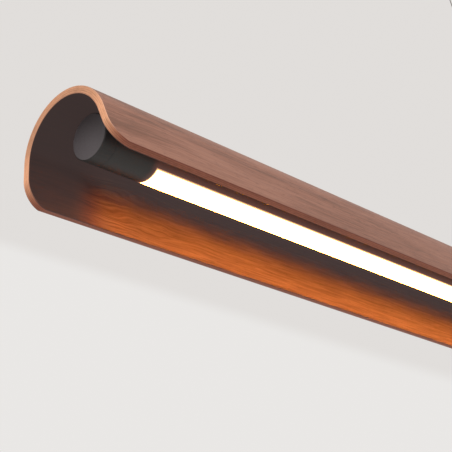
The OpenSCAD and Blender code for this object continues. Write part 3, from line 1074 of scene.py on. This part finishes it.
@dataclass
class Shade:
    """The bent plywood arch: a core between two walnut face veneers.

    A point of the sheet has a distance along the lamp, a distance round the
    section of the sheet laid flat, and a depth below the outer face.
    """

    arch_radius: float = 36.9 * MM
    leg_flare: float = math.radians(11.6)
    leg_length: float = 25.5 * MM
    core: float = 3.7 * MM
    veneer: float = 0.6 * MM
    corner_radius: float = 16.8 * MM
    edge_round: float = 0.45 * MM
    groove: float = 0.05 * MM
    ease_degrees: tuple[float, ...] = (0, 30, 60, 90)
    arc_steps: int = 72
    corner_steps: int = 14
    low: Vector = field(default_factory=lambda: node_size("veneer_outer")[0])
    high: Vector = field(default_factory=lambda: node_size("veneer_outer")[1])

    def __post_init__(self) -> None:
        """Works out what follows from the sizes."""
        self.half_length = (self.high.x - self.low.x) / 2
        self.thickness = self.core + 2 * self.veneer
        self.half_arc = math.pi / 2 - self.leg_flare
        self.flat_radius = self.arch_radius - self.thickness / 2
        self.bend = self.flat_radius * self.half_arc
        self.centre_z = self.high.z - self.arch_radius
        self.lip_around = self.bend + self.leg_length
        self.lip_z = self.section(self.lip_around, self.thickness)[1]
        self.rows = self.make_rows()

    def section(self, around: float, depth: float) -> tuple[float, float]:
        """Where a point of the flat sheet lies across the lamp.

        Args:
            around: Distance round the section from the top, left or right.
            depth: Depth below the outer face.

        Returns:
            Its Y and Z.
        """
        radius = self.arch_radius - depth
        turn = min(abs(around), self.bend) / self.flat_radius
        run = max(abs(around) - self.bend, 0)
        y = radius * math.sin(turn) + run * math.cos(self.half_arc)
        z = self.centre_z + radius * math.cos(turn) - run * math.sin(self.half_arc)
        return math.copysign(y, around), z

    def make_rows(self) -> list[float]:
        """Lays out the rows of points, close together at the round corners.

        Returns:
            Each row's distance round the section, from the left lip to the right.
        """
        corner = [self.leg_length - self.corner_radius / math.sin(self.half_arc) * (1 - math.cos(t))
                  for t in (math.pi / 2 * k / self.corner_steps for k in range(self.corner_steps))]
        legs = [run for run in corner if run > 0]
        legs.append(legs[-1] / 2)
        side = [self.bend + run for run in sorted(legs)]
        half = self.arc_steps // 2
        arc = [self.bend * k / half for k in range(-half, half + 1)]
        return [-distance for distance in reversed(side)] + arc + side

    def end_x(self, z: float) -> float:
        """Half of the shade's length at a height: full length, less at the round corners.

        Args:
            z: The height.

        Returns:
            The X of the far end there.
        """
        radius = self.corner_radius
        drop = min(max(self.lip_z + radius - z, 0), radius)
        return self.half_length - radius + math.sqrt(radius ** 2 - drop ** 2)

    def outline(self, depth: float, inset: float) -> list[tuple[float, float]]:
        """The sheet's outline laid flat, at a depth and moved inwards.

        Args:
            depth: Depth below the outer face.
            inset: How far it is moved in from the true edge.

        Returns:
            Closed line of distances along and round, first the far end, then the near one.
        """
        far = [Vector((self.end_x(self.section(row, depth)[1]), row)) for row in self.rows]
        line = far + [Vector((-point.x, point.y)) for point in reversed(far)]
        moved = []
        for i, point in enumerate(line):
            ahead = (line[(i + 1) % len(line)] - point).normalized()
            behind = (point - line[i - 1]).normalized()
            tangent = (ahead + behind).normalized()
            moved.append((point.x - tangent.y * inset, point.y + tangent.x * inset))
        return moved

    def layer(self, name: str, rings: Sequence[tuple[float, float]], finish: Finish,
              node: str) -> None:
        """Makes one layer of the sheet as a closed solid.

        Args:
            name: The piece's name.
            rings: Depth and inset of each ring round the layer's edge, from its outer face in.
            finish: What it is made of.
            node: The CAD node that it stands for.
        """
        mesh = bmesh.new()
        grain = mesh.verts.layers.float_vector.new(GRAIN)
        loops = []
        for depth, inset in rings:
            ring = []
            for along, around in self.outline(depth, inset):
                vert = mesh.verts.new((along, *self.section(around, depth)))
                vert[grain] = (along, around, depth)
                ring.append(vert)
            loops.append(ring)
        for first, second in zip(loops, loops[1:]):
            join_rings(mesh, first, second)
        for ring in (loops[0], loops[-1]):
            for i in range(len(self.rows) - 1):
                mesh.faces.new((ring[i], ring[i + 1], ring[-2 - i], ring[-1 - i]))
        add_piece(name, mesh, finish, Body.LAMP.value, [node])

    def outside_wood(self) -> WalnutVeneer:
        """The finish of the outer veneer."""
        return WalnutVeneer(
            "walnut_outside", "walnut_veneer", dark=(0.19, 0.078, 0.046), mid=(0.28, 0.119, 0.075),
            light=(0.345, 0.156, 0.102), face_depth=0,
            # the second colour of the edge is painted shade on the lips
            edge=EdgeTone((0.9, 0.46, 0.27), (0.25, 0.066, 0.038), self.lip_around),
            swirl=Swirl(1.5 * MM, self.half_length), fibre=0.45, roughness=0.46, gloss=0.5,
        )

    def inside_wood(self) -> WalnutVeneer:
        """The finish of the inner veneer: walnut darkened as painted shade, with the lamp's light
        painted on.
        """
        # darker than the outer walnut: painted shade under the arch
        return WalnutVeneer(
            "walnut_inside_painted_shade", "inner_veneer", dark=(0.043, 0.0225, 0.0165), mid=(0.07, 0.038, 0.027),
            light=(0.1, 0.058, 0.04), face_depth=self.thickness,
            # the second colour of the edge is painted shade on the lips
            edge=EdgeTone((0.7, 0.33, 0.19), (0.09, 0.04, 0.03), self.lip_around),
            swirl=Swirl(5 * MM, self.half_length),
            lit=PaintedInnerLight(self.lip_around, self.half_length),
            figure=0.135, streak=0.14, fibre=0.62, roughness=0.6, gloss=0.12,
        )

    def ply(self) -> PlyEdge:
        """The finish of the core."""
        # the second colour is painted shade on the lips
        tone = EdgeTone((0.95, 0.45, 0.245), (0.47, 0.155, 0.09), self.lip_around)
        return PlyEdge("ply_edge", "ply_core", tone, self.veneer, self.core)

    def build(self) -> None:
        """Makes the core and both veneers, with a fine groove at each glue joint."""
        ease, groove = self.edge_round, self.groove
        eased = [(ease * (1 - math.cos(t)), ease * (1 - math.sin(t)))
                 for t in map(math.radians, self.ease_degrees)]
        first_joint, last_joint = self.veneer, self.thickness - self.veneer
        self.layer("outer_walnut_veneer", [*eased, (first_joint, 0)], self.outside_wood(),
                   "veneer_outer")
        self.layer("bent_ply_core", [(first_joint, groove), (first_joint + groove, 0),
                                     (last_joint - groove, 0), (last_joint, groove)],
                   self.ply(), "shade_core")
        mirrored = [(self.thickness - depth, inset) for depth, inset in reversed(eased)]
        self.layer("inner_walnut_veneer", [(last_joint, 0), *mirrored], self.inside_wood(),
                   "veneer_inner")


@dataclass
class LightTube:
    """The black tube with its window, the opal diffuser in it and the two end caps."""

    wall: float = 1.5 * MM
    window_half_angle: float = math.radians(37.3)
    window_half_length: float = 684.4 * MM
    lens_gap: float = 0.15 * MM
    flange_thickness: float = 1.2 * MM
    flange_half_angle: float = math.radians(58)
    flange_overlap: float = 4 * MM
    cap_spigot: float = 8 * MM
    cap_wall: float = 2 * MM
    cap_chamfer: float = 0.6 * MM
    cap_seam: float = 0.12 * MM
    cap_fit: float = 0.02 * MM
    flange_fit: float = 0.05 * MM
    edge_break: float = 0.2 * MM
    window_break: float = 0.55 * MM
    cap_soft: float = 0.15 * MM
    cap_steps: int = 96
    arc_steps: int = 88
    window_steps: int = 24

    def __post_init__(self) -> None:
        """Reads the tube's place and radius from the frame."""
        low, high, middle = node_size("light_tube")
        self.radius = (high.y - low.y) / 2
        self.bore = self.radius - self.wall
        self.half_length = (high.x - low.x) / 2
        self.axis_z = middle.z

    def point(self, x: float, radius: float, angle: float) -> Vector:
        """A point at a place along the tube, a radius and an angle from straight down."""
        return Vector((x, radius * math.sin(angle), self.axis_z - radius * math.cos(angle)))

    def shell(self) -> None:
        """Makes the tube: full rings at the ends, open below along the window."""
        mesh = bmesh.new()
        grain = mesh.verts.layers.float_vector.new(GRAIN)
        window = self.window_half_angle
        below = [-window + 2 * window * k / self.window_steps for k in range(self.window_steps)]
        wrap = [window + 2 * (math.pi - window) * k / self.arc_steps for k in range(self.arc_steps)]
        angles = below + wrap
        stations = [-self.half_length, -self.window_half_length, self.window_half_length,
                    self.half_length]
        skins = [[[mesh.verts.new(self.point(x, radius, angle)) for angle in angles]
                  for x in stations] for radius in (self.radius, self.bore)]
        for skin in skins:
            for ring, x in zip(skin, stations):
                for vert, angle in zip(ring, angles):
                    vert[grain] = (x, self.radius * min(angle, 2 * math.pi - angle), 0)
        count, gap = len(angles), len(below)
        for s in range(len(stations) - 1):
            for i in range(count):
                j = (i + 1) % count
                if s == 1 and i < gap:
                    continue
                for skin in skins:
                    mesh.faces.new((skin[s][i], skin[s][j], skin[s + 1][j], skin[s + 1][i]))
        outer, inner = skins
        for i in range(count):
            j = (i + 1) % count
            ends = [0, 3] + ([1, 2] if i < gap else [])
            for s in ends:
                mesh.faces.new((outer[s][i], outer[s][j], inner[s][j], inner[s][i]))
        for i in (0, gap):
            mesh.faces.new((outer[1][i], outer[2][i], inner[2][i], inner[1][i]))
        sharp = [edge for edge in mesh.edges if edge.calc_face_angle(0) > SQUARE_EDGE]
        corners = {outer[s][i] for s in (1, 2) for i in (0, gap)}
        window_edges = [edge for edge in sharp if set(edge.verts) <= corners]
        others = [edge for edge in sharp if edge not in window_edges]
        for edges, reach in ((window_edges, self.window_break), (others, self.edge_break)):
            alive = [edge for edge in edges if edge.is_valid]
            bmesh.ops.bevel(mesh, geom=alive, offset=reach, segments=2, profile=0.5, affect="EDGES")
        # the black tube's coat carries a painted glow beside the window
        black = LitCoating("tube_black", "black_tube", (0.04, 0.036, 0.034), 0.45, spread=0.1,
                           painted_spill=(1.0, 0.28, 0.18), strength=0.075, half_width=self.radius * window,
                           half_length=self.window_half_length)
        add_piece("tube_shell", mesh, black, Body.LAMP.value, ["light_tube"])

    def caps(self) -> None:
        """Makes both turned caps with a chamfered face and a hollow spigot."""
        for end in End:
            low, high, _ = node_size(f"end_cap_{end.word}")
            face_x = high.x if end is End.FAR else low.x
            seat_x = end.value * self.half_length
            height = abs(face_x - seat_x)
            spigot = self.bore - self.cap_fit
            hollow, inner_face = spigot - self.cap_wall, height - self.cap_wall
            profile = [(0, height), (self.radius - self.cap_chamfer, height),
                       (self.radius, height - self.cap_chamfer), (self.radius, self.cap_seam),
                       (self.radius - self.cap_seam, 0), (spigot, 0), (spigot, -self.cap_spigot),
                       (hollow, -self.cap_spigot), (hollow, inner_face), (0, inner_face)]
            mesh = bmesh.new()
            seat, outward = Vector((seat_x, 0, self.axis_z)), Vector((end.value, 0, 0))
            lathe = Lathe(seat, outward, self.cap_steps)
            lathe.turn(mesh, softened(profile, self.cap_soft, closed=False))
            add_piece(f"turned_cap_{end.word}", mesh, CAP_GREY, Body.LAMP.value,
                      [f"end_cap_{end.word}"])

    def diffuser(self) -> None:
        """Makes the opal strip: a lens flush with the tube and two flanges behind its wall."""
        lens_angle = self.window_half_angle - self.lens_gap / self.radius
        flange = self.bore - self.flange_fit
        inner = flange - self.flange_thickness
        steps = self.window_steps

        def arc(radius: float, start: float, end: float) -> list[tuple[float, float]]:
            """Points of (radius, angle) along an arc."""
            return [(radius, start + (end - start) * k / steps) for k in range(steps + 1)]

        lens = arc(self.radius, -lens_angle, lens_angle)
        back = arc(inner, self.flange_half_angle, -self.flange_half_angle)
        rest = [(flange, lens_angle), (flange, self.flange_half_angle), *back,
                (flange, -self.flange_half_angle), (flange, -lens_angle)]
        full = lens + rest
        thin = [(min(radius, flange), angle) for radius, angle in full]
        lens_x = self.window_half_length - self.lens_gap
        flange_x = self.window_half_length + self.flange_overlap
        mesh = bmesh.new()
        grain = mesh.verts.layers.float_vector.new(GRAIN)
        rows = []
        for x, outline in ((-flange_x, thin), (-lens_x, thin), (-lens_x, full), (lens_x, full),
                           (lens_x, thin), (flange_x, thin)):
            row = []
            for radius, angle in outline:
                vert = mesh.verts.new(self.point(x, radius, angle))
                vert[grain] = (x, self.radius * angle, self.radius - radius)
                row.append(vert)
            rows.append(row)
        count = len(full)
        for first, second in zip(rows, rows[1:]):
            for i in range(count):
                j = (i + 1) % count
                if (first[i].co - second[i].co).length + (first[j].co - second[j].co).length > 0:
                    mesh.faces.new((first[i], first[j], second[j], second[i]))
        mesh.faces.new(rows[0])
        mesh.faces.new(rows[-1])
        bmesh.ops.remove_doubles(mesh, verts=mesh.verts, dist=TOUCHING)
        glow = OpalGlow("lit_opal", "opal", (0.85, 0.83, 0.78), glow=(1.0, 0.305, 0.042),
                        strength=72.0, half_width=self.radius * lens_angle, half_length=lens_x)
        add_piece("opal_strip", mesh, glow, Body.LAMP.value, ["diffuser"])

    def build(self) -> None:
        """Makes the tube, its caps and the diffuser, and dresses what the tube holds."""
        self.shell()
        self.caps()
        self.diffuser()
        dress(TUBE_NODES)
        for end in End:
            dress(TUBE_END_NODES, end)


@dataclass
class LampFitting:
    """The socket and its cap at the foot of one wire."""

    end: End
    stud_radius: float = 3 * MM
    wall: float = 1.5 * MM
    floor: float = 2.5 * MM
    cap_bore: float = 2.2 * MM
    cap_fit: float = 0.02 * MM
    mouth_height: float = 0.6 * MM
    plain_rim: float = 0.3 * MM
    edge: float = 0.8 * MM
    socket_soft: float = 0.35 * MM
    cap_soft: float = 0.2 * MM
    knurl_teeth: int = 48
    knurl_depth: float = 0.16 * MM
    mouth_radius: float = 1.45 * MM
    mouth_flare: float = math.tan(math.radians(14))

    def build(self) -> None:
        """Makes the socket on its stud and the knurled cap that screws into it."""
        word = self.end.word
        low, high, middle = node_size(f"socket_{word}")
        radius = (high.x - low.x) / 2
        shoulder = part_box(f"bush_{word}")[1].z
        floor, bore = shoulder + self.floor, radius - self.wall
        socket = [(0, low.z), (self.stud_radius, low.z), (self.stud_radius, shoulder),
                  (radius, shoulder), (radius, high.z), (bore, high.z), (bore, floor), (0, floor)]
        mesh = bmesh.new()
        lathe = Lathe(Vector((middle.x, middle.y, 0)))
        lathe.turn(mesh, softened(socket, self.socket_soft, closed=False))
        add_piece(f"wire_socket_{word}", mesh, FITTING_BLACK, Body.LAMP.value,
                  [f"socket_{word}"])
        self.cap(radius, bore, high.z)
        dress(FITTING_NODES, self.end)

    def cap(self, radius: float, bore: float, rim_z: float) -> None:
        """Makes the cap.

        Args:
            radius: The socket's outer radius.
            bore: Its inner radius.
            rim_z: Height of its rim.
        """
        word = self.end.word
        low, high, middle = node_size(f"socket_cap_{word}")
        plug = bore - self.cap_fit
        seat_z = rim_z - self.mouth_height
        mouth = self.mouth_radius + (high.z - seat_z) * self.mouth_flare
        profile = [(self.cap_bore, low.z), (plug, low.z), (plug, rim_z), (radius, rim_z),
                   (radius, high.z - self.edge), (radius - self.edge, high.z), (mouth, high.z),
                   (self.mouth_radius, seat_z)]
        mesh = bmesh.new()
        lathe = Lathe(Vector((middle.x, middle.y, 0)), teeth=self.knurl_teeth,
                      tooth_depth=self.knurl_depth, tooth_low=rim_z + self.plain_rim,
                      tooth_high=high.z - self.edge)
        lathe.turn(mesh, softened(profile, self.cap_soft, steps=2))
        add_piece(f"knurled_cap_{word}", mesh, FITTING_BLACK, Body.LAMP.value,
                  [f"socket_cap_{word}"])


@dataclass
class WireGripper:
    """One gripper: ball, neck and knurled barrel, with its release button below."""

    end: End
    ball_radius: float = 7.5 * MM
    neck_radius: float = 3.2 * MM
    barrel_radius: float = 4.5 * MM
    bore: float = 0.58 * MM
    button_bore: float = 2.25 * MM
    button_room: float = 8.05 * MM
    barrel_top: float = -48 * MM
    band_low: float = 4 * MM
    band_high: float = 11 * MM
    groove: float = 0.5 * MM
    edge: float = 0.8 * MM
    stem_radius: float = 2.2 * MM
    button_flange: float = 2.5 * MM
    dish: float = 0.3 * MM
    dish_share: float = 0.6
    barrel_soft: float = 0.12 * MM
    button_soft: float = 0.2 * MM
    button_steps: int = 56
    teeth: int = 40
    tooth_depth: float = 0.14 * MM
    ball_steps: int = 20

    def build(self) -> None:
        """Makes the gripper and its button."""
        word = self.end.word
        low, high, middle = node_size(f"gripper_{word}")
        ball_z = high.z - self.ball_radius
        start = math.asin(self.bore / self.ball_radius)
        stop = math.pi - math.asin(self.neck_radius / self.ball_radius)
        turns = [start + (stop - start) * k / self.ball_steps for k in range(self.ball_steps + 1)]
        ball = [(self.ball_radius * math.sin(t), ball_z + self.ball_radius * math.cos(t))
                for t in turns]
        radius, top, groove = self.barrel_radius, self.barrel_top, self.groove
        band_low, band_high = low.z + self.band_low, low.z + self.band_high
        barrel = [(self.neck_radius, top), (radius - self.edge, top), (radius, top - self.edge),
                  *((radius - step, height + rise) for height in (band_high, band_low)
                    for step, rise in ((0, groove), (groove, 0), (0, -groove))),
                  (radius, low.z + self.edge), (radius - self.edge, low.z),
                  (self.button_bore, low.z), (self.button_bore, low.z + self.button_room),
                  (self.bore, low.z + self.button_room)]
        mesh = bmesh.new()
        lathe = Lathe(Vector((middle.x, middle.y, 0)), teeth=self.teeth,
                      tooth_depth=self.tooth_depth, tooth_low=band_low + groove / 2,
                      tooth_high=band_high - groove / 2)
        lathe.turn(mesh, ball + softened(barrel, self.barrel_soft, steps=2, closed=False))
        add_piece(f"wire_gripper_{word}", mesh, NICKEL, Body.GRIPPERS.value,
                  [f"gripper_{word}"])
        self.button()
        dress(GRIPPER_NODES, self.end)

    def button(self) -> None:
        """Makes the release button with a dished face."""
        word = self.end.word
        low, high, middle = node_size(f"release_button_{word}")
        radius = (high.x - low.x) / 2
        shoulder = low.z + self.button_flange
        profile = [(self.bore, low.z + self.dish),
                   (radius * self.dish_share, low.z + self.dish / 2),
                   (radius - self.edge, low.z), (radius, low.z + self.edge), (radius, shoulder),
                   (self.stem_radius, shoulder), (self.stem_radius, high.z), (self.bore, high.z)]
        mesh = bmesh.new()
        lathe = Lathe(Vector((middle.x, middle.y, 0)), steps=self.button_steps)
        lathe.turn(mesh, softened(profile, self.button_soft, steps=2))
        add_piece(f"push_button_{word}", mesh, NICKEL, f"button_{word}",
                  [f"release_button_{word}"])


@dataclass
class CeilingBox:
    """The folded box under the ceiling, with its two cover screws."""

    wall: float = 1.2 * MM
    corner: float = 6 * MM
    least_corner: float = 0.6 * MM
    fold_radius: float = 1.4 * MM
    corner_steps: int = 8
    fold_steps: int = 4
    wire_half_spacing: float = 151.5 * MM
    hole_radius: float = 6.365 * MM
    screw_hole_radius: float = 2.1 * MM
    screw_hole_steps: int = 32
    screw_z: float = -10 * MM
    screw_head: float = 3.5 * MM
    screw_head_height: float = 2.5 * MM
    screw_radius: float = 2 * MM
    screw_point: float = 0.4 * MM
    head_break: float = 0.15 * MM
    dome_degrees: tuple[float, ...] = (30, 45, 60, 75)
    screw_steps: int = 48
    socket_key: float = 1.25 * MM
    socket_depth: float = 1.3 * MM

    def loop(self, low: Vector, high: Vector, inset: float, z: float) -> list[Vector]:
        """One level line round the box.

        Args:
            low: The box's lowest corner.
            high: The box's highest corner.
            inset: How far the line lies in from the outside.
            z: Its height.

        Returns:
            The line's points.
        """
        radius = max(self.corner - inset, self.least_corner)
        points = []
        for quarter, (sx, sy) in enumerate(((1, 1), (-1, 1), (-1, -1), (1, -1))):
            centre = Vector((sx * (high.x - self.corner), sy * (high.y - self.corner), z))
            for k in range(self.corner_steps + 1):
                angle = math.pi / 2 * (quarter + k / self.corner_steps)
                step = Vector((radius * math.cos(angle), radius * math.sin(angle), 0))
                points.append(centre + step)
        return points

    def shell(self) -> None:
        """Makes the box with its folded edges, wire holes and screw holes."""
        low, high, _ = node_size("ceiling_box")
        fold = self.fold_radius
        loops = [self.loop(low, high, self.wall + fold, low.z + self.wall),
                 self.loop(low, high, self.wall, low.z + self.wall + fold / 2),
                 self.loop(low, high, self.wall, high.z), self.loop(low, high, 0, high.z)]
        for k in range(self.fold_steps + 1):
            angle = math.pi / 2 * k / self.fold_steps
            loops.append(self.loop(low, high, fold * (1 - math.cos(angle)),
                                   low.z + fold * (1 - math.sin(angle))))
        mesh = bmesh.new()
        loft(mesh, loops)
        box = add_piece("folded_ceiling_box", mesh, BOX_BLACK, Body.CEILING.value, ["ceiling_box"])
        self.drill(box, low, high)

    def drill(self, box: bpy.types.Object, low: Vector, high: Vector) -> None:
        """Cuts the wire holes and the screw holes.

        Args:
            box: The box's piece.
            low: Its lowest corner.
            high: Its highest corner.
        """
        cutter_mesh = bmesh.new()
        reach, middle = 4 * self.wall, self.wall / 2
        for end in End:
            wire_hole = Lathe(Vector((end.value * self.wire_half_spacing, 0, low.z + middle)))
            screw_hole = Lathe(Vector((end.value * (high.x - middle), 0, self.screw_z)),
                               Vector((1, 0, 0)), self.screw_hole_steps)
            for lathe, radius in ((wire_hole, self.hole_radius),
                                  (screw_hole, self.screw_hole_radius)):
                lathe.turn(cutter_mesh,
                           [(0, -reach), (radius, -reach), (radius, reach), (0, reach)])
        bmesh.ops.recalc_face_normals(cutter_mesh, faces=cutter_mesh.faces)
        data = bpy.data.meshes.new("cutter")
        cutter_mesh.to_mesh(data)
        cutter_mesh.free()
        cutter = bpy.data.objects.new("cutter", data)
        bpy.context.scene.collection.objects.link(cutter)
        cut = box.modifiers.new("holes", "BOOLEAN")
        cut.operation, cut.object, cut.solver = "DIFFERENCE", cutter, "EXACT"
        bpy.context.view_layer.update()
        finished = box.evaluated_get(bpy.context.evaluated_depsgraph_get())
        result = bpy.data.meshes.new_from_object(finished)
        box.modifiers.clear()
        box.data = result
        bpy.data.objects.remove(cutter)

    def screw(self, end: End) -> None:
        """Makes one button-head screw with a six-sided socket.

        Args:
            end: Which end of the box it closes.
        """
        low, high, _ = node_size(f"cover_screw_{end.word}")
        box_low, box_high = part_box("ceiling_box")
        seat_x = box_high.x if end is End.FAR else box_low.x
        tip = -abs((low.x if end is End.FAR else high.x) - seat_x)
        head, shank = self.screw_head, self.screw_radius
        dome = [(head * math.sin(t), self.screw_head_height * math.cos(t))
                for t in map(math.radians, self.dome_degrees)]
        top = dome[0][1]
        profile = [*dome, (head, self.head_break), (head - self.head_break, 0), (shank, 0),
                   (shank, tip + self.screw_point), (shank - self.screw_point, tip), (0, tip),
                   (0, top - self.socket_depth)]
        axis = Vector((end.value, 0, 0))
        mesh = bmesh.new()
        lathe = Lathe(Vector((seat_x, 0, self.screw_z)), axis, self.screw_steps)
        lathe.turn(mesh, profile)
        mesh.verts.ensure_lookup_table()
        self.key_socket(mesh, lathe, UPRIGHT.rotation_difference(axis), top)
        add_piece(f"button_screw_{end.word}", mesh, FITTING_BLACK, Body.CEILING.value,
                  [f"cover_screw_{end.word}"])

    def key_socket(self, mesh: bmesh.types.BMesh, lathe: Lathe, turned: Quaternion,
                   top: float) -> None:
        """Turns the cone inside the head's top into a six-sided socket.

        Args:
            mesh: The screw's mesh, whose first ring is the head's top.
            lathe: The lathe that turned it.
            turned: The lathe's turn.
            top: Height of the head's top.
        """
        ring = [mesh.verts[i] for i in range(lathe.steps)]
        pole = mesh.verts[-1]
        for face in [face for face in pole.link_faces if any(vert in ring for vert in face.verts)]:
            mesh.faces.remove(face)
        levels = []
        for height in (top, top - self.socket_depth):
            level = []
            for k in range(lathe.steps):
                angle = 2 * math.pi * k / lathe.steps
                within = (angle + HEXAGON_HALF_SIDE) % (2 * HEXAGON_HALF_SIDE) - HEXAGON_HALF_SIDE
                reach = self.socket_key / math.cos(within)
                point = Vector((reach * math.cos(angle), reach * math.sin(angle), height))
                level.append(mesh.verts.new(lathe.centre + turned @ point))
            levels.append(level)
        Lathe.skin(mesh, ring, levels[0])
        Lathe.skin(mesh, levels[0], levels[1])
        Lathe.skin(mesh, levels[1], [pole])

    def build(self) -> None:
        """Makes the box and both screws, and dresses what the box holds."""
        self.shell()
        for end in End:
            self.screw(end)
        dress(BOX_NODES)


@dataclass(frozen=True)
class SoftLight:
    """A large square light that faces the lamp's near end, in metres and watts."""

    name: str
    place: Triple
    size: float
    power: float
    aim: Triple = (-0.45, 0, -0.5)

    def build(self) -> None:
        """Makes the light and turns it to its aim."""
        data = bpy.data.lights.new(self.name, "AREA")
        data.shape, data.size, data.energy = "SQUARE", self.size, self.power
        lamp = bpy.data.objects.new(self.name, data)
        bpy.context.scene.collection.objects.link(lamp)
        lamp.location = self.place
        way = Vector(self.aim) - Vector(self.place)
        lamp.rotation_euler = way.to_track_quat("-Z", "Y").to_euler()


@dataclass
class Studio:
    """A pale floor far below, a pale surround and two soft lights."""

    floor_drop: float = 6.0
    floor_half: float = 75.0
    floor_cells: int = 24
    floor_flat: float = 0.8
    floor_rise: float = 0.2
    ceiling: Colour = (0.752, 0.728, 0.708)
    wall: Colour = (0.817, 0.801, 0.785)
    under: Colour = (0.45, 0.439, 0.43)
    under_from: float = 1.1
    under_to: float = 1.6
    haze: Colour = (0.6, 0.58, 0.545)
    haze_top: float = 0.24
    edge_rise: float = math.radians(37.05)
    edge_blur: float = 0.007
    room_shape: float = 0.55
    paint: Painted = Painted("pale_floor", (0.753, 0.743, 0.723), (0.767, 0.757, 0.737))
    lights: tuple[SoftLight, ...] = (
        SoftLight("soft_key", (-2.6, -2.2, 0.4), 1.8, 52),
        SoftLight("soft_fill", (1.6, 2.6, -0.3), 2.4, 12),
    )

    def build(self) -> None:
        """Makes the floor, the surround and the lights."""
        self.floor()
        self.surround()
        for light in self.lights:
            light.build()
        bpy.context.scene.view_settings.view_transform = "Standard"

    def floor(self) -> None:
        """Makes the floor with a slight rise at its far edges."""
        mesh = bmesh.new()
        bmesh.ops.create_grid(mesh, x_segments=self.floor_cells, y_segments=self.floor_cells,
                              size=self.floor_half)
        for vert in mesh.verts:
            away = max(abs(vert.co.x), abs(vert.co.y)) / self.floor_half
            vert.co.z = -self.floor_drop + self.floor_rise * max(0.0, away - self.floor_flat) ** 2
        data = bpy.data.meshes.new("studio_floor")
        mesh.to_mesh(data)
        mesh.free()
        floor = bpy.data.objects.new("studio_floor", data)
        bpy.context.scene.collection.objects.link(floor)
        data.materials.append(self.paint.make())
        floor.visible_diffuse = False

    def surround(self) -> None:
        """Makes the surround: pale walls, the floor's tone below, a duller ceiling above."""
        world = bpy.data.worlds.new("studio_surround")
        bpy.context.scene.world = world
        world.use_nodes = True
        g = NodeGraph(world.node_tree)
        looking = g.tree.nodes.new("ShaderNodeTexCoord").outputs["Generated"]
        height = g.part(looking, "Z")
        along, across = (g.math("ABSOLUTE", g.part(looking, axis)) for axis in "XY")
        aside = g.math("MAXIMUM", across, g.math("MULTIPLY", along, self.room_shape))
        above = g.math("SUBTRACT", g.math("MULTIPLY", height, math.cos(self.edge_rise)),
                       g.math("MULTIPLY", aside, math.sin(self.edge_rise)))
        share = g.rescale(above, -self.edge_blur, self.edge_blur, 0, 1, smooth=True)
        walls = g.blend(share, self.wall, self.ceiling)
        skyline = -self.floor_drop / self.floor_half
        clear = g.rescale(height, skyline, self.haze_top, 0, 1, smooth=True)
        foot = g.blend(clear, self.haze, walls)
        level = g.rescale(height, self.under_to * skyline, self.under_from * skyline, 0, 1,
                          smooth=True)
        g.feed(g.tree.nodes["Background"], {"Color": g.blend(level, self.under, foot)})


def main() -> None:
    """Builds the camera, the cords, every sub-assembly and the studio, in that order."""
    logging.basicConfig(level=logging.INFO, format="%(message)s")
    Viewpoint().build()
    Suspension().build()
    builders: list[Callable[[], None]] = [Shade().build, LightTube().build]
    for end in End:
        builders += [LampFitting(end).build, WireGripper(end).build]
    builders += [CeilingBox().build, Studio().build]
    for build in builders:
        build()


if __name__ == "__main__":
    main()
